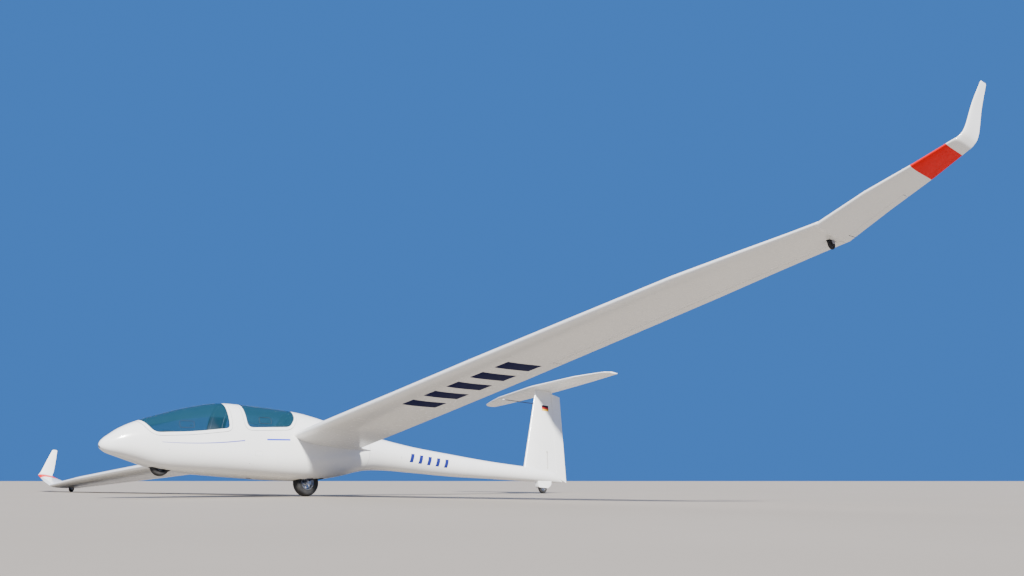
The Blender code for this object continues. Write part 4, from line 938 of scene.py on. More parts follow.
@dataclass
class HullLines:
    """The fuselage's sections, read smoothly from a short table."""

    # station, half width, lowest z, widest z, highest z
    rows: tuple[tuple[float, float, float, float, float], ...] = (
        (0.00, 0.000, 0.055, 0.055, 0.055),
        (0.10, 0.112, -0.030, 0.080, 0.190),
        (0.25, 0.180, -0.068, 0.115, 0.300),
        (0.45, 0.236, -0.118, 0.130, 0.402),
        (0.75, 0.287, -0.190, 0.130, 0.520),
        (1.15, 0.335, -0.215, 0.110, 0.655),
        (1.55, 0.360, -0.222, 0.090, 0.752),
        (2.00, 0.366, -0.225, 0.080, 0.772),
        (2.45, 0.360, -0.225, 0.090, 0.772),
        (2.85, 0.342, -0.212, 0.120, 0.755),
        (3.20, 0.315, -0.180, 0.165, 0.705),
        (3.60, 0.280, -0.100, 0.235, 0.630),
        (4.00, 0.250, 0.005, 0.285, 0.566),
        (4.40, 0.211, 0.040, 0.272, 0.505),
        (5.00, 0.180, 0.040, 0.240, 0.440),
        (5.80, 0.160, 0.034, 0.211, 0.388),
        (6.60, 0.133, 0.049, 0.196, 0.343),
        (7.40, 0.112, 0.062, 0.188, 0.318),
        (8.00, 0.080, 0.076, 0.185, 0.298),
        (8.30, 0.048, 0.085, 0.165, 0.262),
        (8.43, 0.020, 0.095, 0.107, 0.130),
    )
    belly_power: float = 2.4
    top_power: float = 2.1
    boom_power: float = 2.0
    points: int = 96

    def section(self, station: float) -> tuple[float, float, float, float]:
        """Give half width, lowest, widest and highest z at a station.

        Args:
            station: Metres aft of the nose tip.

        Returns:
            The four measures.
        """
        rows = self.rows
        knots = [math.sqrt(row[0]) for row in rows]
        here = math.sqrt(station)
        last = len(rows) - 1
        i = max(k for k in range(last) if knots[k] <= here)
        width = knots[i + 1] - knots[i]
        t = (here - knots[i]) / width

        def slope(k: int, column: int) -> float:
            """Give a column's slope at a knot."""
            before, after = max(k - 1, 0), min(k + 1, last)
            return (rows[after][column] - rows[before][column]) / (knots[after] - knots[before])

        return tuple(
            rows[i][c] * (2 * t**3 - 3 * t**2 + 1)
            + rows[i + 1][c] * (3 * t**2 - 2 * t**3)
            + width * slope(i, c) * (t**3 - 2 * t**2 + t)
            + width * slope(i + 1, c) * (t**3 - t**2)
            for c in range(1, 5)
        )

    def powers(self, station: float) -> tuple[float, float]:
        """Give the roundness of the belly and of the top at a station.

        Args:
            station: Metres aft of the nose tip.

        Returns:
            The two exponents.
        """
        aft = min(max((station - 3.2) / 0.8, 0.0), 1.0)
        belly = self.belly_power + (self.boom_power - self.belly_power) * aft
        top = self.top_power + (self.boom_power - self.top_power) * aft
        return belly, top

    def ring(self, station: float, inset_by: float = 0.0) -> Ring:
        """Give one section, moved inwards by the inset.

        Args:
            station: Metres aft of the nose tip.
            inset_by: How far inside the skin.

        Returns:
            Its points in order.
        """
        half_width, low, widest, high = self.section(station)
        belly, top = self.powers(station)
        ring = []
        for i in range(self.points):
            angle = math.tau * i / self.points
            across, rise = math.cos(angle), math.sin(angle)
            power = 2.0 / (top if rise >= 0.0 else belly)
            reach = (high - widest if rise >= 0.0 else widest - low) - inset_by
            y = math.copysign(abs(across) ** power, across) * (half_width - inset_by)
            ring.append(at(station, y, widest + math.copysign(abs(rise) ** power, rise) * reach))
        return ring

    def half_at(self, station: float, z: float) -> float:
        """Give the half width at a height.

        Args:
            station: Metres aft of the nose tip.
            z: Metres over the nose tip.

        Returns:
            The half width there.
        """
        half_width, low, widest, high = self.section(station)
        belly, top = self.powers(station)
        share = (z - widest) / (high - widest) if z >= widest else (widest - z) / (widest - low)
        power = top if z >= widest else belly
        return half_width * max(1.0 - min(share, 1.0) ** power, 0.0) ** (1.0 / power)

    def skin(self, station: float, z: float, side: Side, lift: float = 0.0) -> Vector:
        """Give a point on the side of the fuselage, lifted off along the surface's normal.

        Args:
            station: Metres aft of the nose tip.
            z: Metres over the nose tip.
            side: Which side of the aircraft.
            lift: How far it stands off the surface.

        Returns:
            The point.
        """
        step = 0.004
        y = self.half_at(station, z)
        rise = Vector((0.0, self.half_at(station, z + step) - self.half_at(station, z - step), 2 * step))
        run = Vector((-2 * step, self.half_at(station + step, z) - self.half_at(station - step, z), 0.0))
        out = rise.cross(run).normalized()
        if out.y < 0.0:
            out = -out
        point = at(station, y, z) + out * lift
        return Vector((point.x, point.y * side.value, point.z))

    def body(self, name: str, stations: Sequence[float], finish: Finish, inset_by: float = 0.0) -> Shape:
        """Loft the fuselage over the stations."""
        return loft(name, [self.ring(station, inset_by) for station in stations], finish)

    def film(self, name: str, corners: Sequence[Point], side: Side, finish: Finish,
             lift: float = 0.0007, steps: tuple[int, int] = (30, 3)) -> Shape:
        """Lay a four-cornered film on the side of the fuselage.

        Args:
            name: The piece's name.
            corners: Stations and heights: front low, aft low, aft high, front high.
            side: Which side of the aircraft.
            finish: The film's finish.
            lift: How far it stands off the skin.
            steps: How finely it follows the skin along and up.

        Returns:
            The film as a thin closed solid.
        """
        rings = []
        for i in range(steps[0] + 1):
            s = i / steps[0]
            low = Vector(corners[0]).lerp(Vector(corners[1]), s)
            high = Vector(corners[3]).lerp(Vector(corners[2]), s)
            places = [low.lerp(high, k / steps[1]) for k in range(steps[1] + 1)]
            outer = [self.skin(p.x, p.y, side, lift) for p in places]
            inner = [self.skin(p.x, p.y, side, -0.0015) for p in reversed(places)]
            rings.append(outer + inner)
        return loft(name, rings, finish)


@dataclass
class WingLines:
    """The wing's panels and sections."""

    # span station, leading edge station, trailing edge station, thickness ratio
    rows: tuple[tuple[float, float, float, float], ...] = (
        (0.376, 2.620, 3.735, 0.165),
        (1.20, 2.600, 3.700, 0.163),
        (2.50, 2.583, 3.637, 0.160),
        (4.00, 2.548, 3.554, 0.156),
        (5.50, 2.531, 3.447, 0.152),
        (7.00, 2.519, 3.334, 0.147),
        (7.75, 2.566, 3.262, 0.144),
        (8.25, 2.605, 3.222, 0.142),
        (8.55, 2.620, 3.205, 0.140),
    )
    # y and z of the trailing edge, leading station, trailing station, thickness ratio, cant in degrees
    tip_rows: tuple[tuple[float, float, float, float, float, float], ...] = (
        (9.00, 0.975, 2.662, 3.165, 0.135, 8.0),
        (9.43, 1.115, 2.748, 3.135, 0.130, 18.0),
        (9.72, 1.220, 2.805, 3.105, 0.120, 24.0),
        (9.80, 1.275, 2.860, 3.130, 0.110, 50.0),
        (9.845, 1.365, 2.915, 3.165, 0.105, 72.0),
        (9.90, 1.600, 3.025, 3.205, 0.100, 78.0),
        (9.965, 1.815, 3.135, 3.240, 0.095, 78.0),
    )
    root_rib: float = 0.376
    tip_joint: float = 8.55
    root_height: float = 0.250
    dihedral: float = 0.0667
    washout: float = 0.100
    washout_span: float = 12.0
    camber: float = 0.022
    blunt: float = 0.0015
    tip_twist: float = 0.045
    steps: int = 36
    span_step: float = 0.22

    def half_thickness(self, u: float, thickness: float) -> float:
        """Give half the section's thickness at a share of the chord."""
        shape = 0.2969 * math.sqrt(u) - 0.1260 * u - 0.3516 * u**2 + 0.2843 * u**3 - 0.1036 * u**4
        return 5.0 * thickness * shape

    def ring(self, leading: Vector, trailing: Vector, thickness: float, camber: float, up: Vector) -> Ring:
        """Give one section over the top to the leading edge and back below.

        Args:
            leading: The leading edge's point.
            trailing: The trailing edge's point.
            thickness: The thickness as a share of the chord.
            camber: The camber as a share of the chord.
            up: The way to its upper face.

        Returns:
            Its points in order.
        """
        chord = trailing - leading
        length = chord.length
        shares = [0.5 * (1.0 + math.cos(math.pi * i / self.steps)) for i in range(self.steps + 1)]
        ring = []
        for side, steps in ((1.0, shares), (-1.0, shares[-2::-1])):
            for u in steps:
                half = self.half_thickness(u, thickness) * length + self.blunt * u
                middle = camber * 4.0 * u * (1.0 - u) * length
                ring.append(leading + chord * u + up * (middle + side * half))
        return ring

    def row(self, y: float) -> tuple[Vector, Vector, float]:
        """Give the leading point, the trailing point and the thickness at a span station.

        Args:
            y: Metres out from the middle.

        Returns:
            The three.
        """
        _, leading, trailing, thickness = read_between(self.rows, y)
        low = self.root_height + self.dihedral * y
        high = low + self.washout * (1.0 - y / self.washout_span)
        return at(leading, y, high), at(trailing, y, low), thickness

    def tip_table(self) -> list[tuple[float, ...]]:
        """Give the tip's rows, led by the main panel's last one."""
        leading, trailing, thickness = self.row(self.tip_joint)
        return [(self.tip_joint, trailing.z, -leading.x, -trailing.x, thickness, 0.0), *self.tip_rows]

    def tip_ring(self, row: Sequence[float]) -> Ring:
        """Give one section of the tip or winglet.

        Args:
            row: One row of the tip's table.

        Returns:
            Its points in order.
        """
        y, z, leading, trailing, thickness, cant = row
        up = Vector((0.0, -math.sin(math.radians(cant)), math.cos(math.radians(cant))))
        rise = self.tip_twist * (trailing - leading)
        return self.ring(at(leading, y, z) + up * rise, at(trailing, y, z), thickness, self.camber, up)

    def tip_section(self, y: float) -> tuple[Vector, Vector, float]:
        """Give a tip section as leading point, trailing point and thickness."""
        y, z, leading, trailing, thickness, _ = read_between(self.tip_table(), y)
        return at(leading, y, z + self.tip_twist * (trailing - leading)), at(trailing, y, z), thickness

    def smooth_tip_rows(self, per_row: int = 6) -> list[list[float]]:
        """Run a smooth curve through the rows of the bend and the winglet.

        Args:
            per_row: How many steps there are between two rows.

        Returns:
            The finer rows.
        """
        rows = self.tip_table()
        bend = 2
        made = []
        for i in range(len(rows) - 1):
            if i < bend:
                count = max(2, round((rows[i + 1][0] - rows[i][0]) / 0.08))
                made += [[a + k / count * (b - a) for a, b in zip(rows[i], rows[i + 1])]
                         for k in range(count)]
                continue
            p = [rows[max(i - 1, bend)], rows[i], rows[i + 1], rows[min(i + 2, len(rows) - 1)]]
            for k in range(per_row):
                made.append([smoothly(a, b, c, d, k / per_row) for a, b, c, d in zip(*p)])
        made.append(list(rows[-1]))
        return made

    def surface(self, y: float, station: float, side: float) -> Vector:
        """Give the point on the upper (1), lower (-1) or middle (0) surface of either panel."""
        leading, trailing, thickness = self.row(y) if y <= self.tip_joint else self.tip_section(y)
        return self.surface_of(leading, trailing, thickness, station, side)[0]

    def surface_of(self, leading: Vector, trailing: Vector, thickness: float, station: float, side: float
                   ) -> tuple[Vector, float]:
        """Give a section's surface point at a station, and half the thickness there.

        Args:
            leading: The leading edge's point.
            trailing: The trailing edge's point.
            thickness: The thickness as a share of the chord.
            station: Metres aft of the nose tip.
            side: 1 for the upper surface, -1 for the lower, 0 for the middle.

        Returns:
            The point and half the thickness.
        """
        chord = trailing - leading
        u = min(max((station + leading.x) / (leading.x - trailing.x), 0.0), 1.0)
        half = self.half_thickness(u, thickness) * chord.length + self.blunt * u
        middle = self.camber * 4.0 * u * (1.0 - u) * chord.length
        return leading + chord * u + UP * (middle + side * half), half


def mirrored(ring: Iterable[Vector], side: Side) -> Ring:
    """Put points on the given side."""
    return [Vector((p.x, p.y * side.value, p.z)) for p in ring]


@dataclass
class Hinge:
    """A hinged surface: its hinge line, how far it swings and the pins at its ends."""

    points: list[tuple[Vector, float]]
    limit: float
    thick: Vector
    pin_radius: float = 0.004
    pin_length: float = 0.030
    nose_steps: int = 20

    def volume(self, name: str, reach: float, height: float, finish: Finish, room: bool = False) -> Shape:
        """Give the volume behind the hinge line with a round nose.

        Args:
            name: The tool's name.
            reach: How far aft it goes.
            height: How far it goes to each side.
            finish: What its faces leave on what it cuts.
            room: Whether it is grown by the swing and the running clearance.

        Returns:
            The volume as a tool.
        """
        axis = (self.points[-1][0] - self.points[0][0]).normalized()
        aft = (AFT - axis * AFT.dot(axis)).normalized()
        side = axis.cross(aft)
        if side.dot(self.thick) < 0.0:
            side = -side
        rings = []
        for i, (point, radius) in enumerate(self.points):
            gap = 0.0
            if room:
                radius = radius / math.cos(math.radians(self.limit)) + RUNNING
                gap = -RUNNING if i == 0 else RUNNING if i == len(self.points) - 1 else 0.0
            centre = point + axis * gap
            ring = [centre + aft * reach + side * height, centre + side * height]
            for k in range(self.nose_steps + 1):
                angle = math.pi * (0.5 + k / self.nose_steps)
                ring.append(centre + aft * (radius * math.cos(angle)) + side * (radius * math.sin(angle)))
            ring += [centre - side * height, centre + aft * reach - side * height]
            rings.append(ring)
        return loft(name, rings, finish)

    def split(self, name: str, fixed: Shape, rings: Sequence[Ring], finish: Finish) -> Shape:
        """Cut the moving surface out of the fixed panel and bore it for the end pins.

        Args:
            name: The moving piece's name.
            fixed: The panel that it hangs on.
            rings: The panel's sections.
            finish: The surface's finish.

        Returns:
            The moving surface.
        """
        surface = loft(name, rings, finish).keep(self.volume(f"{name}_volume", 0.6, 0.3, finish))
        # The room's faces left on the panel are near-black: painted shade in the hinge gap.
        fixed.cut(self.volume(f"{name}_room", 0.7, 0.4, RECESS_SHADE, room=True))
        axis = (self.points[-1][0] - self.points[0][0]).normalized()
        for label, end, inward in (("a", self.points[0][0], axis), ("b", self.points[-1][0], -axis)):
            pin = rod(f"{name}_pin_{label}", end - inward * 0.020, end + inward * self.pin_length,
                      self.pin_radius, STEEL)
            far = end + inward * (self.pin_length + 0.004)
            bore = rod(f"{name}_bore_{label}", end - inward * 0.010, far, self.pin_radius + 0.0005, RECESS_SHADE)
            fixed.join(pin)
            surface.cut(bore)
        return surface


@dataclass
class Assembly:
    """What every sub-assembly works with: where the craft stands and the fuselage's lines."""

    craft: Craft
    lines: HullLines

    def set_down(self, shape: Shape, slot: str, *nodes: str, body: str = "airframe",
                 sharp: float = 35.0) -> None:
        """Set a finished shape down on a body, standing for the named nodes."""
        self.craft.set_down(shape, body, slot, *nodes, sharp=sharp)


@dataclass
class CanopyLines:
    """One canopy in side view, with its hinge line beside the starboard sill."""

    label: str
    outline: tuple[Point, ...]
    radii: tuple[float, ...]
    hinge_stations: tuple[float, float]
    frame_width: float = 0.042
    hinge_off: float = 0.016
    knuckle: float = 0.008
    pin: float = 0.004

    def edge(self, distance: float) -> list[Point]:
        """Give the outline moved inwards, its corners rounded to match."""
        return rounded(inset(self.outline, distance), [max(r - distance, 0.005) for r in self.radii])

    def span(self) -> tuple[float, float]:
        """Give the first and last station."""
        stations = [station for station, _ in self.outline]
        return min(stations), max(stations)

    def sill_height(self, station: float) -> float:
        """Give the height of the outline's lower edge.

        Args:
            station: Metres aft of the nose tip.

        Returns:
            The height.
        """
        low = [p for p in self.outline if p[1] < 0.5]
        for a, b in zip(low, low[1:]):
            if a[0] <= station <= b[0]:
                return a[1] + (b[1] - a[1]) * (station - a[0]) / (b[0] - a[0])
        return low[-1][1]

    def hinges(self, lines: HullLines) -> list[Vector]:
        """Give the centres of the two hinges.

        Args:
            lines: The fuselage's lines.

        Returns:
            The two centres.
        """
        places = []
        for station in self.hinge_stations:
            z = self.sill_height(station)
            places.append(at(station, -(lines.half_at(station, z) + self.hinge_off), z + 0.002))
        return places

    def leaf(self, name: str, start: Vector, end: Vector, root: Vector) -> Shape:
        """Give one half of a hinge: round about the axis, with a web that roots in the skin.

        Args:
            name: The piece's name.
            start: Where its knuckle starts.
            end: Where its knuckle ends.
            root: The way from the axis to its foot.

        Returns:
            The leaf.
        """
        axis = (end - start).normalized()
        towards = root.normalized()
        beside = axis.cross(towards)
        rings = []
        for centre in (start, end):
            ring = []
            for k in range(13):
                angle = math.pi * (0.5 + k / 12.0)
                ring.append(centre + (towards * math.cos(angle) + beside * math.sin(angle)) * self.knuckle)
            foot = centre + root
            ring += [foot - beside * self.knuckle * 0.7, foot + beside * self.knuckle * 0.7]
            rings.append(ring)
        return loft(name, rings, STEEL)

    def hang(self, pod: Shape, frame: Shape, lines: HullLines) -> None:
        """Add the lugs and pins to the fuselage and the eyes to the frame.

        Args:
            pod: The fuselage pod, still open to cuts.
            frame: The canopy's frame.
            lines: The fuselage's lines.
        """
        centres = self.hinges(lines)
        axis = (centres[1] - centres[0]).normalized()
        inward = (PORT - axis * axis.dot(PORT)).normalized()
        down = -(UP - axis * axis.dot(UP) - inward * inward.dot(UP)).normalized()
        for number, centre in enumerate(centres):
            name = f"{self.label}_hinge_{number}"
            root = inward * 0.021
            lug = self.leaf(f"{name}_lug", centre - axis * 0.030, centre - axis * 0.0006, root + down * 0.022)
            pin = rod(f"{name}_pin", centre - axis * 0.010, centre + axis * 0.022, self.pin, STEEL)
            pod.join(lug.join(pin))
            eye = self.leaf(f"{name}_eye", centre + axis * 0.0006, centre + axis * 0.030, root - down * 0.022)
            bore = rod(f"{name}_bore", centre - axis * 0.002, centre + axis * 0.026, self.pin + 0.0005, RECESS_SHADE)
            frame.join(eye.cut(bore))


FRONT_CANOPY = CanopyLines(
    "front",
    ((0.365, 0.46), (0.57, 0.175), (1.09, 0.222), (1.655, 0.325), (1.65, 0.90), (0.365, 0.90)),
    (0.08, 0.13, 0.24, 0.10, 0.01, 0.01),
    (0.80, 1.50),
)
REAR_CANOPY = CanopyLines(
    "rear",
    ((1.81, 0.90), (1.83, 0.345), (2.58, 0.430), (2.71, 0.600), (2.76, 0.90)),
    (0.01, 0.14, 0.12, 0.10, 0.01),
    (1.95, 2.45),
)


@dataclass
class Canopy(Assembly):
    """One hinged canopy: frame, glass, seal and sliding vent."""

    canopy: CanopyLines
    frame_depth: float = 0.014
    glass_depth: float = 0.005
    step: float = 0.04
    seal_radius: float = 0.004
    # the vent's first corner, aft of the first hinge and over the sill, its corners and its knob from there
    vent_place: Point = (0.12, 0.105)
    vent_corners: tuple[Point, ...] = ((0.0, 0.0), (0.19, 0.012), (0.19, 0.105), (0.0, 0.095))
    vent_knob: Point = (0.15, 0.05)

    def layer(self, name: str, depth: float, finish: Finish, inner: Finish) -> Shape:
        """Give the skin between the outer surface and a depth, over the canopy's stretch.

        Args:
            name: The piece's name.
            depth: How thick the skin is.
            finish: What its outside is dressed in.
            inner: What its inside is dressed in.

        Returns:
            The skin.
        """
        first, last = self.canopy.span()
        stations = spaced(first - 0.04, last + 0.04, self.step)
        hollow = self.lines.body(f"{name}_hollow", [first - 0.07, *stations, last + 0.07], inner, depth)
        return self.lines.body(name, stations, finish).cut(hollow)

    def build(self, pod: Shape) -> None:
        """Make the canopy and its half of the hinges, and give the fuselage the other half.

        Args:
            pod: The fuselage pod, still open to cuts.
        """
        label, canopy = self.canopy.label, self.canopy
        window = RUNNING + canopy.frame_width
        body = f"canopy_{label}"
        frame = self.layer(f"canopy_frame_{label}", self.frame_depth, WHITE, LINING)
        frame.keep(prism(f"{label}_edge", canopy.edge(RUNNING), -0.6, 0.6, WHITE))
        frame.cut(prism(f"{label}_window", canopy.edge(window), -0.7, 0.7, SEAL))
        canopy.hang(pod, frame, self.lines)
        self.set_down(frame, "gelcoat", f"canopy_frame_{label}", body=body)
        glass = self.layer(f"canopy_glass_{label}", self.glass_depth, GLASS, GLASS)
        glass.keep(prism(f"{label}_pane", canopy.edge(window + TOUCH), -0.6, 0.6, SEAL))
        self.set_down(glass, "canopy_glass", f"canopy_glass_{label}", body=body)
        self.seal(label, body)
        self.vent(label, body)

    def seal(self, label: str, body: str) -> None:
        """Bead the inside of the pane with a dark seal on both sides.

        Args:
            label: Front or rear.
            body: The body that it rides on.
        """
        outline = self.canopy.edge(RUNNING + self.canopy.frame_width - self.seal_radius)
        for side in Side:
            route = []
            for (s, z), (t, w) in zip(outline, [*outline[1:], outline[0]]):
                for k in range(4):
                    share = k / 4.0
                    station, height = s + (t - s) * share, z + (w - z) * share
                    top = self.lines.section(station)[3] if height < 0.89 else 0.0
                    if height < top - 0.06:
                        route.append(self.lines.skin(station, height, side, -self.frame_depth - 0.003))
            route.sort(key=lambda p: math.atan2(p.z - 0.42, -p.x - sum(self.canopy.span()) / 2.0))
            widest = max(range(len(route)), key=lambda i: (route[i] - route[i - 1]).length)
            route = route[widest:] + route[:widest]
            bead = tube(f"{label}_seal_{side.label}", route, self.seal_radius, SEAL, 10)
            self.set_down(bead, "tyre", body=body, sharp=80.0)

    def vent(self, label: str, body: str) -> None:
        """Frame the sliding vent in the port side of the pane and give it a knob.

        Args:
            label: Front or rear.
            body: The body that it rides on.
        """
        first = self.canopy.hinge_stations[0] + self.vent_place[0]
        low = self.canopy.sill_height(first) + self.vent_place[1]
        outline = rounded(around(first, low, self.vent_corners), [0.03] * 4, 6)
        route = [self.lines.skin(s, z, Side.LEFT, 0.0004) for s, z in outline]
        rim = tube(f"{label}_vent_rim", [*route, route[0]], 0.0022, SEAL, 8)
        self.set_down(rim, "tyre", body=body, sharp=80.0)
        (place,) = around(first, low, [self.vent_knob])
        knob = self.lines.skin(*place, Side.LEFT, -0.0172)
        out = (self.lines.skin(*place, Side.LEFT, 0.01) - knob).normalized()
        profile = [(0.0005, 0.0), (0.0005, 0.012), (0.007, 0.012), (0.009, 0.009), (0.009, 0.003),
                   (0.006, 0.0)]
        self.set_down(turned(f"{label}_vent_knob", knob, out, profile, PANEL, 28), "panel", body=body)


@dataclass
class Fuselage(Assembly):
    """The moulded pod and boom, with their lining, openings, stripes and side marks."""

    wing: WingLines
    boom_joint: float = 3.98
    skin: float = 0.010
    nose: float = 0.003
    boom_end: float = 8.43
    pod_steps: int = 72
    cavity_front: float = 0.30
    boom_cavity_end: float = 7.6
    stub_start: float = 0.180
    stub_steps: int = 12
    stub_flare: float = 0.062
    flare_length: float = 0.072
    flare_most: float = 1.6
    # station and height of the stripes' points, with the width at each
    waist_stripe: tuple[tuple[float, float, float], ...] = (
        (0.695, 0.107, 0.005), (1.285, 0.133, 0.010), (1.821, 0.212, 0.014))
    short_stripe: tuple[tuple[float, float, float], ...] = ((2.161, 0.255, 0.021), (2.533, 0.286, 0.021))
    # the slanted bars on the boom: their stations, and their heights from the widest line
    bars: tuple[float, ...] = (4.79, 4.97, 5.15, 5.33, 5.51)
    bar_low: float = -0.082
    bar_high: float = 0.050
    bar_width: float = 0.070
    bar_slant: float = 0.035
    # wheel openings: first and last station, half width, corner radius
    main_slot: tuple[float, float, float, float] = (2.80, 3.30, 0.100, 0.095)
    nose_slot_gap: float = 0.012
    nose_slot_corner: float = 0.050
    # the belly hook's opening: first and last station, half width
    hook_slot: tuple[float, float, float] = (2.060, 2.130, 0.022)
    # the nose hook's bore: height, depth and radius
    hook_bore: tuple[float, float, float] = (0.035, 0.075, 0.016)
    hatch: tuple[Point, ...] = ((1.98, 0.02), (2.09, 0.02), (2.09, 0.085), (1.98, 0.085))
    # drains and pressure ports: station and height
    ports: tuple[Point, ...] = ((0.793, 0.02), (1.92, -0.087), (4.62, 0.235), (4.62, 0.215))
    pod: Shape | None = None
    boom: Shape | None = None

    def root_stub(self, side: Side) -> Shape:
        """Give the moulded wing root, flaring into the fuselage.

        Args:
            side: Which side of the aircraft.

        Returns:
            The stub.
        """
        wing = self.wing
        leading, trailing, thickness = wing.row(wing.root_rib)
        rings = []
        reach = wing.root_rib - TOUCH - self.stub_start
        for i in range(self.stub_steps + 1):
            y = self.stub_start + reach * i / self.stub_steps
            grow = self.stub_flare * min((wing.root_rib - y) / self.flare_length, self.flare_most) ** 2
            front = at(-leading.x - grow * 0.6, y, leading.z)
            back = at(-trailing.x + grow * 1.6, y, trailing.z)
            rings.append(mirrored(wing.ring(front, back, thickness * (1.0 + grow * 2.5), wing.camber, UP),
                                  side))
        return loft(f"root_stub_{side.label}", rings, WHITE)

    def shell(self, canopies: Sequence[CanopyLines]) -> None:
        """Make the pod and the boom, still open to the other assemblies' cuts.

        Args:
            canopies: The canopies that it is opened for.
        """
        end = self.boom_joint - TOUCH / 2.0
        length, steps = end - self.nose, self.pod_steps
        stations = [self.nose + length * (i / steps) ** 1.5 for i in range(steps + 1)]
        pod = self.lines.body("fuselage_pod", stations, WHITE)
        for side in Side:
            pod.join(self.root_stub(side))
        cavity = spaced(self.cavity_front, self.boom_joint + 0.05, 0.07)
        pod.cut(self.lines.body("cockpit_cavity", cavity, LINING, self.skin))
        for canopy in canopies:
            pod.cut(prism(f"{canopy.label}_opening", canopy.edge(0.0), -0.6, 0.6, WHITE))
        start = self.boom_joint + TOUCH / 2.0
        boom = self.lines.body("tail_boom", spaced(start, self.boom_end, 0.075), WHITE)
        hollow = spaced(self.boom_joint - 0.05, self.boom_cavity_end, 0.2)
        boom.cut(self.lines.body("boom_cavity", hollow, LINING, self.skin))
        self.pod, self.boom = pod, boom

    def openings(self) -> None:
        """Cut the belly for the main and nose wheels and for the two tow hooks."""
        self.wheel_opening("main", *self.main_slot)
        reach, half = NOSE.radius + self.nose_slot_gap, NOSE.width / 2.0 + self.nose_slot_gap
        self.wheel_opening("nose", NOSE.station - reach, NOSE.station + reach, half, self.nose_slot_corner)
        first, last, half = self.hook_slot
        # The hook openings' faces are near-black: painted shade inside them.
        self.pod.cut(box("belly_hook_opening", (first, -half, -0.40), (last, half, -0.10), RECESS_SHADE))
        height, depth, radius = self.hook_bore
        self.pod.cut(rod("nose_hook_bore", at(-0.05, 0.0, height), at(depth, 0.0, height), radius, RECESS_SHADE))

    def wheel_opening(self, label: str, first: float, last: float, half: float, radius: float) -> None:
        """Cut a round-cornered opening for a wheel into the belly.

        Args:
            label: Which wheel.
            first: Its first station.
            last: Its last station.
            half: Half its width.
            radius: Its corners' radius.
        """
        corners = [(first, -half), (last, -half), (last, half), (first, half)]
        outline = rounded(corners, [radius] * 4, 10)
        rings = [[at(station, y, z) for station, y in outline] for z in (-0.40, -0.09)]
        # The opening's faces are near-black: painted shade inside the wheel well.
        self.pod.cut(loft(f"{label}_wheel_slot", rings, RECESS_SHADE))

    def finish(self) -> None:
        """Set the pod and the boom down with everything that is laid on them."""
        self.set_down(self.pod, "gelcoat", "fuselage_pod")
        self.set_down(self.boom, "gelcoat", "tail_boom")
        for side in Side:
            self.stripes(side)
            self.marks(side)
        self.joint_tape()

    def ribbon(self, name: str, points: Sequence[tuple[float, float, float]], side: Side,
               finish: Finish) -> Shape:
        """Lay a stripe that bends smoothly through its points and changes width along them.

        Args:
            name: The piece's name.
            points: Its points' stations, heights and widths, from front to rear.
            side: Which side of the aircraft.
            finish: What it is dressed in.

        Returns:
            The stripe.
        """
        rows = []
        for station in spaced(points[0][0], points[-1][0], 0.075):
            pulls = [math.prod((station - q[0]) / (p[0] - q[0]) for q in points if q is not p)
                     for p in points]
            z, width = (sum(pull * p[c] for pull, p in zip(pulls, points)) for c in (1, 2))
            rows.append((station, z - width / 2, z + width / 2))
        shapes = []
        for number, ((s, low, high), (t, bottom, top)) in enumerate(zip(rows, rows[1:])):
            corners = [(s, low), (t, bottom), (t, top), (s, high)]
            shapes.append(self.lines.film(f"{name}_{number}", corners, side, finish, steps=(3, 2)))
        return merged(name, shapes, finish)

    def stripes(self, side: Side) -> None:
        """Lay the waist stripe, the short bright one and the bars on the boom.

        Args:
            side: Which side of the aircraft.
        """
        self.set_down(self.ribbon(f"waist_stripe_{side.label}", self.waist_stripe, side, VIOLET), "gelcoat")
        self.set_down(self.ribbon(f"short_stripe_{side.label}", self.short_stripe, side, BLUE), "gelcoat")
        bars = []
        for number, station in enumerate(self.bars):
            widest = self.lines.section(station)[2]
            low, high, shifted = widest + self.bar_low, widest + self.bar_high, station + self.bar_slant
            corners = [(station, low), (station + self.bar_width, low), (shifted + self.bar_width, high),
                       (shifted, high)]
            bars.append(self.lines.film(f"bar_{side.label}_{number}", corners, side, BOOM_BLUE,
                                        steps=(8, 10)))
        self.set_down(merged(f"boom_bars_{side.label}", bars, BOOM_BLUE), "gelcoat")

    def marks(self, side: Side) -> None:
        """Add the hatch outline, static ports and drain marks.

        Args:
            side: Which side of the aircraft.
        """
        outline = rounded(self.hatch, [0.014] * 4, 5)
        route = [self.lines.skin(s, z, side, 0.0001) for s, z in outline]
        line = tube(f"hatch_line_{side.label}", [*route, route[0]], 0.0009, SEAM, 6)
        self.set_down(line, "gelcoat", sharp=80.0)
        for number, (station, z) in enumerate(self.ports):
            point = self.lines.skin(station, z, side)
            out = (self.lines.skin(station, z, side, 0.01) - point).normalized()
            profile = [(0.0012, -0.002), (0.0012, 0.0006), (0.0042, 0.0006), (0.0050, 0.0002),
                       (0.0050, -0.002)]
            self.set_down(turned(f"port_{side.label}_{number}", point, out, profile, STEEL, 24), "steel")

    def joint_tape(self) -> None:
        """Draw the moulded joint line round the boom."""
        rings = []
        for shift, lift in ((-0.003, -0.001), (-0.003, 0.0004), (0.003, 0.0004), (0.003, -0.001)):
            rings.append(self.lines.ring(self.boom_joint + shift, -lift))
        bm = loft_mesh([*rings, rings[0]], closed_ends=False)
        bmesh.ops.remove_doubles(bm, verts=bm.verts, dist=1e-6)
        self.set_down(Shape("boom_joint_line", bm, SEAM), "gelcoat")


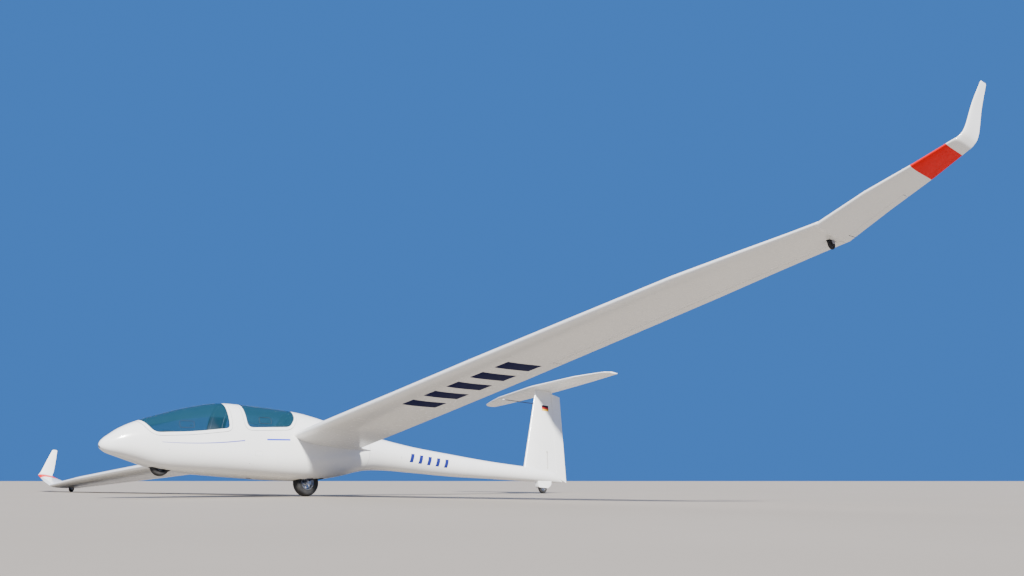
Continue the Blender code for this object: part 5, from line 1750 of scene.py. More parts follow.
@dataclass(frozen=True)
class Upholstery:
    """How a sewn cover is blown up over its filling, held along its seams and where it lies on the shell."""

    voxel: float = 0.005
    pressure: float = 4.0
    frames: int = 20
    # a point moves no further than this from the cover as it was sewn
    furthest: float = 0.010
    # the cover's depth as a share of the cushion's, before it is filled and where it isn't
    empty_depth: float = 0.72
    plain_depth: float = 0.85

    def swell(self, shape: Shape, held: Callable[[Vector], bool]) -> Shape:
        """Blow a cover up by cloth simulation.

        Args:
            shape: The cover before it is filled, a little thinner than it ends up.
            held: Whether a point of it is sewn down.

        Returns:
            The filled cushion, with no modifier left on it.
        """
        piece = shape.piece
        fabric = piece.data.materials[0]
        voxels = piece.modifiers.new("cover", "REMESH")
        voxels.mode = "VOXEL"
        voxels.voxel_size = self.voxel
        shape.settle_modifiers()
        start = [vertex.co.copy() for vertex in piece.data.vertices]
        sewn = piece.vertex_groups.new(name="sewn")
        sewn.add([i for i, point in enumerate(start) if held(point)], 1.0, "REPLACE")
        cloth = piece.modifiers.new("filling", "CLOTH")
        cloth.settings.use_pressure = True
        cloth.settings.uniform_pressure_force = self.pressure
        cloth.settings.effector_weights.gravity = 0.0
        cloth.settings.vertex_group_mass = "sewn"
        cloth.point_cache.frame_start = 1
        cloth.point_cache.frame_end = self.frames
        for frame in range(1, self.frames + 1):
            bpy.context.scene.frame_set(frame)
        shape.settle_modifiers()
        bpy.context.scene.frame_set(1)
        for vertex, origin in zip(piece.data.vertices, start):
            move = vertex.co - origin
            if move.length > self.furthest:
                vertex.co = origin + move.normalized() * self.furthest
        piece.data.materials.clear()
        piece.data.materials.append(fabric)
        shape.soften(1)
        shape.settle_modifiers()
        return shape


@dataclass(frozen=True)
class PadSize:
    """One cushion of a seat: where it lies along the seat, its size and its sewn channels."""

    name: str
    start: float
    end: float
    half_width: float
    depth: float
    seams: int
    fill: float


@dataclass
class Seat:
    """A reclined seat: moulded shell, sewn cushions, headrest and harness."""

    label: str
    shift: float
    half_width: float
    shell_depth: float = 0.012
    lip: float = 0.030
    pad_lift: float = 0.001
    length: float = 0.86
    # how much narrower it is at the shoulders, and from which share of its length it narrows
    taper: float = 0.18
    taper_from: float = 0.6
    lip_from: float = 0.8
    # station and height of the seat's upper face, from the knees to the shoulders
    route: tuple[Point, ...] = (
        (1.060, -0.014), (1.180, -0.062), (1.300, -0.106), (1.370, -0.117), (1.430, -0.108), (1.485, -0.060),
        (1.520, 0.030), (1.560, 0.150), (1.595, 0.250), (1.622, 0.330))

    def point(self, share: float) -> Vector:
        """Give the middle of the seat's upper face at a share of its length, as station and height.

        Args:
            share: A share of the seat's length, from the knees.

        Returns:
            The station and the height.
        """
        last = len(self.route) - 1
        place = min(max(share, 0.0), 1.0) * last
        i = min(int(place), last - 1)
        t = place - i
        a, b, c, d = (Vector(self.route[min(max(k, 0), last)]) for k in (i - 1, i, i + 1, i + 2))
        return smoothly(a, b, c, d, t) + Vector((self.shift, 0.0))

    def normal(self, share: float) -> Vector:
        """Give the direction off the seat's face, as station and height."""
        run = self.point(share + 0.01) - self.point(share - 0.01)
        return Vector((-run.y, run.x)).normalized()

    def spot(self, share: float, y: float, lift: float) -> Vector:
        """Give a point over the seat's face."""
        place = self.point(share) + self.normal(share) * lift
        return at(place.x, y, place.y)

    def shell(self) -> Shape:
        """Mould the seat pan and back with raised edges.

        Returns:
            The moulding.
        """
        rings = []
        columns = [-1.0, -0.97, -0.9, -0.8, -0.5, 0.0, 0.5, 0.8, 0.9, 0.97, 1.0]
        steps = 36
        for i in range(steps + 1):
            share = i / steps
            narrowing = self.taper * max(share - self.taper_from, 0.0) / 0.4
            width = self.half_width * (1.0 - narrowing)
            top = [self.spot(share, c * width, self.lip * max(abs(c) - self.lip_from, 0.0) / 0.2)
                   for c in columns]
            low = [p - (self.spot(share, 0.0, self.shell_depth) - self.spot(share, 0.0, 0.0))
                   for p in reversed(top)]
            rings.append(top + low)
        return loft(f"seat_{self.label}", rings, LINING)

    def place_of(self, point: Vector) -> tuple[float, float]:
        """Give a point's share along the seat and how far it stands off the face.

        Args:
            point: A point of the cushion.

        Returns:
            The share and the distance.
        """
        here = Vector((-point.x, point.z))
        share = min((i / 160.0 for i in range(161)),
                    key=lambda step: (self.point(step) - here).length_squared)
        return share, (here - self.point(share)).dot(self.normal(share))

    def pad(self, size: PadSize) -> Shape:
        """Sew one crowned cushion on the seat's face and fill it.

        Args:
            size: The cushion's sizes.

        Returns:
            The cushion.
        """
        rings = []
        steps = 64
        swollen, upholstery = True, Upholstery()
        depth = size.depth * (upholstery.empty_depth if swollen else upholstery.plain_depth)
        for i in range(steps + 1):
            t = i / steps
            edge = max(1.0 - abs(2.0 * t - 1.0) ** 7, 0.0) ** 0.5
            channel = abs(math.sin(math.pi * t * (size.seams + 1))) ** 0.35 if size.seams else 1.0
            tall = depth * max(edge, 0.12) * (0.78 + 0.22 * channel)
            wide = size.half_width * (0.93 + 0.05 * edge)
            share = size.start + (size.end - size.start) * (0.01 + 0.98 * t)
            ring = []
            for k in range(40):
                angle = math.tau * k / 40
                across, rise = math.cos(angle), math.sin(angle)
                y = math.copysign(abs(across) ** 0.45, across) * wide
                crown = abs(rise) ** 0.55 * (1.0 + 0.18 * (1.0 - (y / wide) ** 2))
                ring.append(self.spot(share, y, self.pad_lift + (tall * crown if rise > 0.0 else 0.0)))
            rings.append(ring)
        cover = loft(f"{size.name}_{self.label}", rings, CUSHION)
        return upholstery.swell(cover, lambda point: self.sewn(size, point)) if swollen else cover

    def sewn(self, size: PadSize, point: Vector) -> bool:
        """Tell whether a cushion's point is held: under the cushion, at a seam or along its edge.

        Args:
            size: The cushion's sizes.
            point: A point of the cushion.

        Returns:
            Whether it is held.
        """
        share, lift = self.place_of(point)
        if lift < self.pad_lift + 0.003:
            return True
        place = (share - size.start) / (size.end - size.start) * (size.seams + 1)
        near = abs(place - round(place)) * (size.end - size.start) / (size.seams + 1) * self.length
        return 0 < round(place) < size.seams + 1 and near < 0.004

    def belt(self, name: str, places: Sequence[tuple[float, float, float]], width: float = 0.042) -> Shape:
        """Lay webbing over points given as share of the seat, y and lift.

        Args:
            name: The piece's name.
            places: Its points.
            width: The webbing's width.

        Returns:
            The strap.
        """
        marks = [Vector(place) for place in places]
        steps = 8
        route, normals = [], []
        for a, b in zip(marks, marks[1:]):
            for k in range(steps):
                p = a.lerp(b, k / steps)
                route.append(self.spot(p.x, p.y, p.z))
                normals.append(self.spot(p.x, p.y, p.z + 0.01) - route[-1])
        route.append(self.spot(*marks[-1]))
        normals.append(normals[-1])
        return strap(name, route, normals, width, 0.0018, WEBBING)

    def harness(self) -> list[Shape]:
        """Give the two shoulder straps and the two lap straps.

        Returns:
            The four straps.
        """
        pieces = []
        top = 0.040
        for word, y in (("port", 0.075), ("starboard", -0.075)):
            sign = math.copysign(1.0, y)
            shoulder = [(0.99, y, 0.030), (0.94, y, top), (0.80, y * 0.95, top),
                        (0.64, y * 0.5, top + 0.006), (0.55, sign * 0.022, 0.052)]
            lap = [(0.50, sign * 0.205, 0.004), (0.50, sign * 0.165, 0.034),
                   (0.50, sign * 0.10, 0.050), (0.52, sign * 0.020, 0.055)]
            pieces.append(self.belt(f"shoulder_{self.label}_{word}", shoulder))
            pieces.append(self.belt(f"lap_{self.label}_{word}", lap))
        return pieces

    def buckle(self) -> Shape:
        """Make the round harness lock with its turning lever.

        Returns:
            The lock.
        """
        centre = self.spot(0.53, 0.0, 0.054)
        out = (self.spot(0.53, 0.0, 0.10) - centre).normalized()
        profile = [(0.0005, 0.0), (0.0005, 0.015), (0.020, 0.015), (0.027, 0.011), (0.030, 0.004),
                   (0.030, 0.0)]
        plate = turned(f"buckle_{self.label}", centre, out, profile, BOLT, 40)
        lever = rod(f"buckle_lever_{self.label}", centre + out * 0.010, centre + out * 0.020, 0.011, KNOB_RED)
        return merged(f"harness_lock_{self.label}", [plate, lever], BOLT)


@dataclass
class Cockpit(Assembly):
    """What shows through the canopies, with the two seats in tandem."""

    seats: tuple[Seat, Seat] = (Seat("front", 0.0, 0.250), Seat("rear", 1.06, 0.260))
    pads: tuple[PadSize, ...] = (
        PadSize("seat_cushion", 1 / 24, 11 / 24, 0.185, 0.038, 3, 0.55),
        PadSize("back_cushion", 13 / 24, 21 / 24, 0.160, 0.030, 3, 0.50),
        PadSize("headrest", 22 / 24, 1.0, 0.100, 0.058, 0, 0.70),
    )
    filled: dict[str, bpy.types.Mesh] = field(default_factory=dict)
    stick_stations: tuple[float, float] = (1.010, 1.970)
    panel_faces: tuple[float, float] = (0.900, 1.770)
    panel_tops: tuple[float, float] = (0.300, 0.400)
    panel_half_width: float = 0.200
    dial_radius: float = 0.036
    dial_columns: tuple[float, float, float] = (-0.102, 0.0, 0.102)
    floor: float = -0.205
    skin: float = 0.010
    cabin_ends: tuple[float, float] = (0.30, 3.95)
    # seat ribs: station and height of each
    ribs: tuple[Point, ...] = ((1.12, -0.052), (1.36, -0.123))
    # each lever's name, station, height, side, reach off the wall and knob
    hand_controls: tuple[tuple[str, float, float, Side, float, Finish], ...] = (
        ("airbrake_lever", 1.20, 0.145, Side.LEFT, 0.040, KNOB_BLUE),
        ("trim_lever", 1.36, 0.100, Side.LEFT, 0.030, KNOB_GREEN),
        ("release_knob", 1.06, 0.130, Side.LEFT, 0.034, KNOB_YELLOW),
        ("canopy_lever", 1.22, 0.165, Side.RIGHT, 0.030, KNOB_RED))
    needle_angles: tuple[float, ...] = (2.2, 0.6, 3.9, 1.2, 5.1, 2.9, 0.2, 4.4, 1.8)
    switches: tuple[float, ...] = (-0.15, -0.12, -0.09, 0.09, 0.12, 0.15)

    def build(self) -> None:
        """Furnish both seats' places."""
        for seat, stick, face, top in zip(self.seats, self.stick_stations, self.panel_faces, self.panel_tops):
            self.furnish_seat(seat)
            self.stick(seat.label, stick)
            self.panel(seat.label, face, top)
            self.levers(seat)
        self.lining_trim()

    def cabin(self, name: str, gap: float = TOUCH) -> Shape:
        """Give the space inside the pod."""
        return self.lines.body(name, spaced(*self.cabin_ends, 0.12), LINING, self.skin + gap)

    def furnish_seat(self, seat: Seat) -> None:
        """Place the shell, its cushions, the headrest and the harness.

        Args:
            seat: The seat.
        """
        shell = seat.shell()
        for number, (station, top) in enumerate(self.ribs):
            low = (station + seat.shift, -0.20, -0.30)
            shell.join(box(f"{seat.label}_rib_{number}", low, (station + seat.shift + 0.02, 0.20, top),
                           LINING))
        shell.keep(self.cabin(f"seat_space_{seat.label}"))
        self.set_down(shell, "lining", f"seat_{seat.label}")
        for size in self.pads:
            name = f"{size.name}_{seat.label}"
            filled = self.filled.get(size.name)
            if filled is None:
                pad = seat.pad(size)
                self.filled[size.name] = pad.piece.data.copy()
            else:
                bm = bmesh.new()
                bm.from_mesh(filled)
                bmesh.ops.translate(bm, vec=AFT * (seat.shift - self.seats[0].shift), verts=bm.verts)
                pad = Shape(name, bm, CUSHION)
            self.set_down(pad, "cloth", name, sharp=60.0)
        for piece in [*seat.harness(), seat.buckle()]:
            self.set_down(piece, "grip", sharp=50.0)

    def stick(self, label: str, station: float) -> None:
        """Make the control stick with its gaiter, ribbed grip and button.

        Args:
            label: Front or rear.
            station: Metres aft of the nose tip.
        """
        foot, hand = at(station, 0.0, self.floor + 0.07), at(station + 0.020, 0.0, 0.085)
        route = [foot, foot.lerp(hand, 0.3) + AFT * -0.004, foot.lerp(hand, 0.7), hand]
        post = tube(f"{label}_post", route, 0.0095, STEEL, 20)
        lean = (at(station + 0.030, 0.0, 0.20) - at(station + 0.019, 0.0, 0.07)).normalized()
        ribs = [(0.0150 + 0.0016 * math.cos(k * math.pi), 0.012 + 0.0085 * k) for k in range(12)]
        grip_profile = [(0.0005, 0.0), (0.013, 0.0), *ribs, (0.0150, 0.122), (0.0105, 0.130), (0.0005, 0.131)]
        grip = turned(f"{label}_grip", at(station + 0.019, 0.0, 0.070), lean, grip_profile[::-1], GRIP, 36)
        top, under = at(station + 0.0305, 0.0, 0.205), at(station + 0.030, 0.0, 0.199)
        button = rod(f"{label}_button", under, top, 0.005, KNOB_RED)
        folds = [(0.047 - 0.0052 * k + 0.004 * (k % 2), 0.013 * k) for k in range(8)]
        sole = at(station, 0.0, self.lines.section(station)[1] + self.skin + 0.0005)
        gaiter = turned(f"{label}_gaiter", sole, UP, [(0.0005, 0.0), *folds, (0.0005, 0.092)][::-1], GRIP, 48)
        stick = merged(f"control_stick_{label}", [post, grip, button, gaiter], GRIP)
        self.set_down(stick, "grip", f"stick_{label}")

    def dial(self, name: str, face: float, y: float, z: float, turn: float) -> list[Shape]:
        """Make one round instrument: bezel, face, marks and needle.

        Args:
            name: The piece's name.
            face: The station of the panel's face.
            y: Metres out from the middle.
            z: Metres over the nose tip.
            turn: The needle's angle in radians.

        Returns:
            Its parts.
        """
        radius = self.dial_radius
        centre = at(face, y, z)
        steps = ((-0.005, 0.0), (-0.005, 0.003), (-0.002, 0.0055), (0.001, 0.004), (0.0015, 0.0))
        pieces = [turned(f"{name}_bezel", centre, AFT, around(radius, 0.0, steps), PANEL, 44)]
        pieces.append(rod(f"{name}_face", centre, centre + AFT * 0.0012, radius - 0.005, DIAL, segments=40))
        for k in range(24):
            angle = math.tau * k / 24
            out = Vector((0.0, math.cos(angle), math.sin(angle)))
            reach = radius - 0.008
            length = 0.006 if k % 3 == 0 else 0.003
            far, near = centre + out * reach + AFT * 0.0014, centre + out * (reach - length) + AFT * 0.0014
            pieces.append(rod(f"{name}_tick_{k}", far, near, 0.0007, DIAL_WHITE, segments=4))
        hand = Vector((0.0, math.cos(turn), math.sin(turn)))
        start, end = centre - hand * 0.006 + AFT * 0.002, centre + hand * (radius - 0.012) + AFT * 0.002
        pieces.append(rod(f"{name}_needle", start, end, 0.0015, DIAL_YELLOW, 0.0006, 8))
        pieces.append(rod(f"{name}_hub", centre, centre + AFT * 0.003, 0.004, PANEL, segments=16))
        return pieces

    def panel(self, label: str, face: float, top: float) -> None:
        """Make the instrument panel: pod, glare shield, dials, switches and column.

        Args:
            label: Front or rear.
            face: The station of the panel's face.
            top: The height of its top.
        """
        half = self.panel_half_width
        shoulder = top - 0.085
        outline = [(-half, 0.062), (half, 0.062), (half, shoulder), (0.115, top), (-0.115, top),
                   (-half, shoulder)]
        arc = rounded(outline, [0.03, 0.03, 0.07, 0.09, 0.09, 0.07], 8)
        rings = []
        for depth, size in ((0.100, 0.90), (0.060, 0.96), (0.012, 1.0), (0.003, 0.995), (0.0, 0.985)):
            rings.append([at(face - depth, y * size, 0.18 + (z - 0.18) * size) for y, z in arc])
        body = loft(f"{label}_panel_body", rings, PANEL)
        shield = [at(face - 0.100, y * 0.92, 0.184 + (z - 0.18) * 0.93) for y, z in arc]
        hood = []
        hoops = ((0.100, 0.000, 0.002), (0.030, 0.004, 0.003), (-0.022, 0.006, 0.003), (-0.028, 0.003, 0.001))
        for depth, lift, thick in hoops:
            upper = [at(face - depth, p.y * (1.02 + lift), p.z + lift + 0.004)
                     for p in shield if p.z > shoulder - 0.02]
            under = [Vector((p.x, p.y * 0.985, p.z - thick)) for p in reversed(upper)]
            hood.append(upper + under)
        visor = loft(f"{label}_glare_shield", hood, GRIP)
        column = box(f"{label}_column", (face - 0.085, -0.058, -0.40), (face - 0.015, 0.058, 0.09), PANEL)
        bottom = {"front": 0.0, "rear": -0.5}[label]
        column.keep(self.cabin(f"column_space_{label}"))
        column.keep(box(f"{label}_column_room", (face - 0.2, -0.2, bottom), (face + 0.1, 0.2, 0.2), PANEL))
        self.set_down(merged(f"panel_{label}", [body, visor, column], PANEL), "panel",
                      f"instrument_panel_{label}")
        dials = []
        rows = (top - 0.060, top - 0.150) if label == "front" else (top - 0.060, top - 0.150, top - 0.240)
        places = [(y, z) for z in rows for y in self.dial_columns]
        for number, ((y, z), turn) in enumerate(zip(places, self.needle_angles)):
            dials += self.dial(f"{label}_dial_{number}", face, y, z, turn)
        self.set_down(merged(f"dials_{label}", dials, DIAL), "panel")
        switches = []
        for number, y in enumerate(self.switches):
            foot = at(face, y, 0.085)
            switches.append(rod(f"{label}_switch_ring_{number}", foot, foot + AFT * 0.002, 0.006, BOLT))
            end = foot + AFT * 0.014 + UP * 0.004
            switches.append(rod(f"{label}_switch_{number}", foot, end, 0.002, BOLT, 0.003, 12))
        self.set_down(merged(f"switches_{label}", switches, BOLT), "steel")

    def lever(self, name: str, station: float, z: float, side: Side, reach: float, finish: Finish) -> None:
        """Make one lever on the cockpit wall, with a bent rod and a shaped knob.

        Args:
            name: The piece's name.
            station: Metres aft of the nose tip.
            z: Metres over the nose tip.
            side: Which side of the aircraft.
            reach: How far it stands off the wall.
            finish: The knob's finish.
        """
        wall = self.lines.skin(station, z, side, -self.skin - 0.012)
        inward = Vector((0.0, -side.value, 0.0))
        elbow = wall + inward * reach
        hand = elbow + AFT * 0.030 + UP * 0.055
        bend = elbow.lerp(hand, 0.5) + UP * 0.006
        route = [wall - inward * 0.012, wall + inward * reach * 0.5, elbow, bend, hand]
        arm = tube(f"{name}_arm", route, 0.0045, STEEL, 12)
        profile = [(0.0005, 0.0), (0.006, 0.002), (0.0125, 0.012), (0.0140, 0.022), (0.0110, 0.033),
                   (0.0045, 0.039), (0.0005, 0.040)]
        knob = turned(f"{name}_knob", hand - UP * 0.004, (UP + AFT * 0.3).normalized(), profile[::-1],
                      finish, 28)
        corners = around(station, z, ((-0.05, -0.03), (0.07, -0.03), (0.07, 0.03), (-0.05, 0.03)))
        plate = self.lines.film(f"{name}_plate", corners, side, PANEL, -self.skin - 0.0015, (8, 4))
        self.set_down(merged(name, [arm, knob, plate], STEEL), "steel")

    def levers(self, seat: Seat) -> None:
        """Place each seat's hand controls along the walls.

        Args:
            seat: The seat.
        """
        for name, station, z, side, reach, finish in self.hand_controls:
            self.lever(f"{name}_{seat.label}", station + seat.shift, z, side, reach, finish)

    def lining_trim(self) -> None:
        """Run a padded rail under both sills on both sides."""
        for canopy in (FRONT_CANOPY, REAR_CANOPY):
            first, last = canopy.hinge_stations
            for side in Side:
                route = []
                for station in spaced(first - 0.05, last + 0.05, 0.05):
                    height = canopy.sill_height(station) - 0.012
                    route.append(self.lines.skin(station, height, side, -self.skin - 0.007))
                rail = tube(f"sill_rail_{canopy.label}_{side.label}", route, 0.008, GRIP, 16)
                self.set_down(rail, "lining")


@dataclass
class Wing(Assembly):
    """One wing: panel, tip with winglet, ailerons, airbrake, tip wheel, tapes and marks."""

    wing: WingLines
    side: Side
    aileron_span: tuple[Point, ...] = ((4.65, 3.360), (8.50, 3.115))
    tip_aileron_span: tuple[Point, ...] = ((8.60, 3.108), (9.16, 3.072))
    swing: float = 20.0
    red_from: float = 9.40
    red_to: float = 9.70
    brake_span: tuple[float, float] = (2.90, 4.30)
    brake_station: float = 3.10
    brake_thickness: float = 0.014
    brake_height: float = 0.092
    brake_cap: tuple[float, float] = (0.046, 0.004)
    # the guide rods' place as a share of the blade's length, and the length and radius of rod and bore
    brake_rods: tuple[float, float] = (-0.45, 0.45)
    brake_rod: tuple[float, float] = (0.105, 0.0035)
    brake_bore: tuple[float, float] = (0.1055, 0.0040)
    brake_hole_depth: float = 0.052
    brake_hole_radius: float = 0.020
    # the tip wheel's station, span station, height, radius and width
    wheel: tuple[float, float, float, float, float] = (3.025, 8.454, 0.782, 0.055, 0.030)
    # the winglet's rounded end: how far it is drawn in, and how far it rises
    end_cap: tuple[Point, ...] = ((0.30, 0.006), (0.62, 0.011))
    brake_holes: int = 14
    # the tape in front of an aileron, and the hairlines along the airbrake: span stations and distances
    tape_gap: float = 0.047
    brake_line: tuple[float, float, float, float] = (2.86, 4.34, -0.043, -0.040)
    # the bars' first and last station, width and slant
    bar_size: tuple[float, float, float, float] = (2.80, 3.30, 0.23, 0.06)
    # span station of each slanted bar under the port wing
    bars: tuple[float, ...] = (2.50, 2.93, 3.36, 3.79, 4.22)

    def panel_ring(self, y: float, swell: float = 0.0) -> Ring:
        """Give the main panel's section, swollen off its surface by a distance.

        Args:
            y: Metres out from the middle.
            swell: How far off the surface.

        Returns:
            Its points in order.
        """
        leading, trailing, thickness = self.wing.row(y)
        chord = (trailing - leading).length
        thickness += 2 * swell / chord
        return self.wing.ring(leading - AFT * swell, trailing + AFT * swell, thickness, self.wing.camber, UP)

    def rows_with(self, rows: list[list[float]], y: float) -> int:
        """Add a row at a span station and tell its place.

        Args:
            rows: The tip's rows, which get one more.
            y: Metres out from the middle.

        Returns:
            The new row's place.
        """
        i = next(k for k, row in enumerate(rows) if row[0] > y)
        share = (y - rows[i - 1][0]) / (rows[i][0] - rows[i - 1][0])
        rows.insert(i, [a + share * (b - a) for a, b in zip(rows[i - 1], rows[i])])
        return i

    def hinge(self, span: Sequence[Point], outer: bool) -> Hinge:
        """Give an aileron's hinge.

        Args:
            span: The span station and station of each end.
            outer: Whether it is on the tip.

        Returns:
            The hinge.
        """
        points = []
        for y, station in span:
            section = self.wing.tip_section(y) if outer else self.wing.row(y)
            middle, half = self.wing.surface_of(*section, station, 0.0)
            points.append((Vector((middle.x, middle.y * self.side.value, middle.z)), half - 0.001))
        return Hinge(points, self.swing, UP, *((0.0025, 0.020) if outer else ()))

    def build(self) -> None:
        """Make the whole wing."""
        label, side, wing = self.side.label, self.side, self.wing
        edge = wing.tip_joint - TOUCH / 2.0
        spans = sorted({*spaced(wing.root_rib, edge, wing.span_step), *(row[0] for row in wing.rows[:-1])})
        rings = [mirrored(self.panel_ring(y), side) for y in spans]
        panel = loft(f"wing_{label}", rings, WHITE)
        aileron = self.hinge(self.aileron_span, False).split(f"aileron_{label}", panel, rings, WHITE)
        self.airbrake(panel)
        self.tip_wheel(panel)
        self.set_down(panel, "gelcoat", f"wing_{label}")
        self.set_down(aileron, "gelcoat", f"aileron_{label}", body=f"aileron_{label}")
        rows = wing.smooth_tip_rows()
        rows[0][0] += TOUCH / 2.0
        first, last = self.rows_with(rows, self.red_from), self.rows_with(rows, self.red_to)
        end = list(rows[-1])
        for inward, rise in self.end_cap:
            middle = (end[2] + end[3]) / 2.0
            rows.append([end[0] + rise * 0.2, end[1] + rise, middle + (end[2] - middle) * (1 - inward * 0.5),
                         middle + (end[3] - middle) * (1 - inward * 0.3), end[4] * (1 - inward), end[5]])
        tip_rings = [mirrored(wing.tip_ring(row), side) for row in rows]
        tip = self.banded(loft(f"wing_tip_{label}", tip_rings, WHITE), first, last, len(tip_rings[0]))
        outer = self.hinge(self.tip_aileron_span, True).split(f"tip_aileron_{label}", tip, tip_rings, WHITE)
        self.set_down(tip, "gelcoat", f"wing_tip_{label}")
        self.set_down(outer, "gelcoat", f"tip_aileron_{label}", body=f"tip_aileron_{label}")
        self.tapes()
        if side is Side.LEFT:
            self.underside_bars()

    @staticmethod
    def banded(tip: Shape, first: int, last: int, count: int) -> Shape:
        """Dress the faces between two of the tip's sections in red.

        Args:
            tip: The tip, still without cuts.
            first: The band's first section.
            last: The band's last section.
            count: How many points a section has.

        Returns:
            The tip.
        """
        mesh = tip.piece.data
        mesh.materials.append(RED.material())
        for face in mesh.polygons[first * count:last * count]:
            face.material_index = 1
        return tip

    def airbrake(self, panel: Shape) -> None:
        """Make the airbrake blade with its cap and holes, its slot and its guide rods.

        Args:
            panel: The wing's panel, still open to cuts.
        """
        label = self.side.label
        ends = [mirrored([self.wing.surface(y, self.brake_station, 1.0)], self.side)[0]
                for y in self.brake_span]
        along = (ends[1] - ends[0]).normalized()
        lift = (UP - along * along.dot(UP)).normalized()
        length = (ends[1] - ends[0]).length
        turn = Matrix((lift.cross(along).normalized(), along, lift)).transposed().to_4x4()
        place = Matrix.Translation((ends[0] + ends[1]) / 2.0 - lift * 0.002) @ turn
        cap_width, cap_depth = self.brake_cap
        blade_length, height, thickness = length - 0.05, self.brake_height, self.brake_thickness

        def bar(name: str, width: float, span: float, low: float, high: float, finish: Finish) -> Shape:
            """Give a bar in the brake's own axes.

            Args:
                name: The piece's name.
                width: Its size along the flight.
                span: Its size along the wing.
                low: Its lower face.
                high: Its upper face.
                finish: What it is dressed in.

            Returns:
                The bar.
            """
            bm = bmesh.new()
            bmesh.ops.create_cube(bm, size=1.0)
            bmesh.ops.scale(bm, vec=(width, span, high - low), verts=bm.verts)
            bmesh.ops.translate(bm, vec=(0.0, 0.0, (low + high) / 2.0), verts=bm.verts)
            bmesh.ops.transform(bm, matrix=place, verts=bm.verts)
            return Shape(name, bm, finish)

        blade = bar(f"airbrake_{label}", thickness, blade_length, -height, -0.001, ALLOY)
        blade.join(bar(f"brake_cap_{label}", cap_width, length, -cap_depth, 0.0, WHITE))
        room = 2 * RUNNING
        # The slot's and the recess's faces are near-black: painted shade in the airbrake box.
        panel.cut(bar(f"brake_slot_{label}", thickness + room, blade_length + room, -height - RUNNING, 0.1,
                      RECESS_SHADE))
        panel.cut(bar(f"brake_recess_{label}", cap_width + room, length + room, -cap_depth - RUNNING, 0.1,
                      RECESS_SHADE))
        (rod_length, rod_radius), (bore_length, bore_radius) = self.brake_rod, self.brake_bore
        for number, shift in enumerate(self.brake_rods):
            foot = place @ Vector((0.0, shift * blade_length, -height - 0.020))
            panel.join(rod(f"brake_rod_{label}_{number}", foot, foot + lift * rod_length, rod_radius, STEEL))
            blade.cut(rod(f"brake_bore_{label}_{number}", foot, foot + lift * bore_length, bore_radius, RECESS_SHADE))
        for number in range(self.brake_holes):
            shift = (number - (self.brake_holes - 1) / 2.0) / (self.brake_holes + 0.6) * blade_length
            spot = place @ Vector((0.0, shift, -self.brake_hole_depth))
            across = turn @ Vector((0.02, 0.0, 0.0))
            blade.cut(rod(f"brake_hole_{label}_{number}", spot - across, spot + across,
                          self.brake_hole_radius, ALLOY, segments=20))
        self.set_down(blade, "gelcoat", f"airbrake_{label}", body=f"airbrake_{label}")

    def tip_wheel(self, panel: Shape) -> None:
        """Make the small wheel under the tip with its well, lugs and pin.

        Args:
            panel: The wing's panel, still open to cuts.
        """
        label, sign = self.side.label, self.side.value
        station, y, z, radius, width = self.wheel
        low = (station - radius - 0.008, sign * y - width / 2 - 0.006, z - 0.03)
        high = (station + radius + 0.008, sign * y + width / 2 + 0.006, z + radius + 0.007)
        # The well's faces are near-black: painted shade inside it.
        panel.cut(box(f"tip_well_{label}", low, high, RECESS_SHADE))
        lug = around(station, z, ((-0.020, -0.012), (0.020, -0.012), (0.035, 0.045), (-0.035, 0.045)))
        outline = rounded(lug, [0.018, 0.018, 0.002, 0.002], 6)
        for number, offset in enumerate((-0.023, 0.023)):
            middle = sign * y + offset
            panel.join(prism(f"tip_lug_{label}_{number}", outline, middle - 0.002, middle + 0.002, STEEL))
        centre = at(station, sign * y, z)
        panel.join(rod(f"tip_pin_{label}", centre - PORT * 0.027, centre + PORT * 0.027, 0.004, STEEL))
        half, crown = width / 2.0, radius - 0.012
        angles = [math.radians(degrees) for degrees in range(70, -71, -10)]
        arc = [(crown + 0.012 * math.cos(angle), half * math.sin(angle)) for angle in angles]
        web = [(0.012, half), (0.014, half - 0.004), (0.030, half - 0.004), (0.033, half), (crown, half)]
        profile = [(0.0045, -half), (0.0045, half), *web, *arc,
                   *[(r, -offset) for r, offset in reversed(web)]]
        body = f"tip_wheel_{label}"
        self.set_down(turned(body, centre, PORT, profile, TYRE, 48), "tyre", body, body=body)

    def tapes(self) -> None:
        """Tape the panel joint and the wing in front of the ailerons."""
        label, joint = self.side.label, self.wing.tip_joint
        rings = [mirrored(self.panel_ring(joint + shift, 0.0005), self.side)
                 for shift in (-0.022, -0.008, -0.001)]
        self.set_down(loft(f"joint_tape_{label}", rings, TAPE), "gelcoat")
        shapes = []
        for face in (1.0, -1.0):
            (y, station), (end, rear) = self.aileron_span
            station, rear = station - self.tape_gap, rear - self.tape_gap
            corners = [(y, station - 0.022), (end, rear - 0.004), (end, rear + 0.010), (y, station)]
            shapes.append(self.film(f"gap_tape_{label}_{face}", corners, TAPE, face, (44, 2)))
            inner, outer, fore, aft = self.brake_line
            corners = around(0.0, self.brake_station,
                             ((inner, fore), (outer, fore), (outer, aft), (inner, aft)))
            if face > 0.0:
                shapes.append(self.film(f"brake_line_{label}", corners, SEAM, face, (20, 1)))
        self.set_down(merged(f"wing_tapes_{label}", shapes, TAPE), "gelcoat")

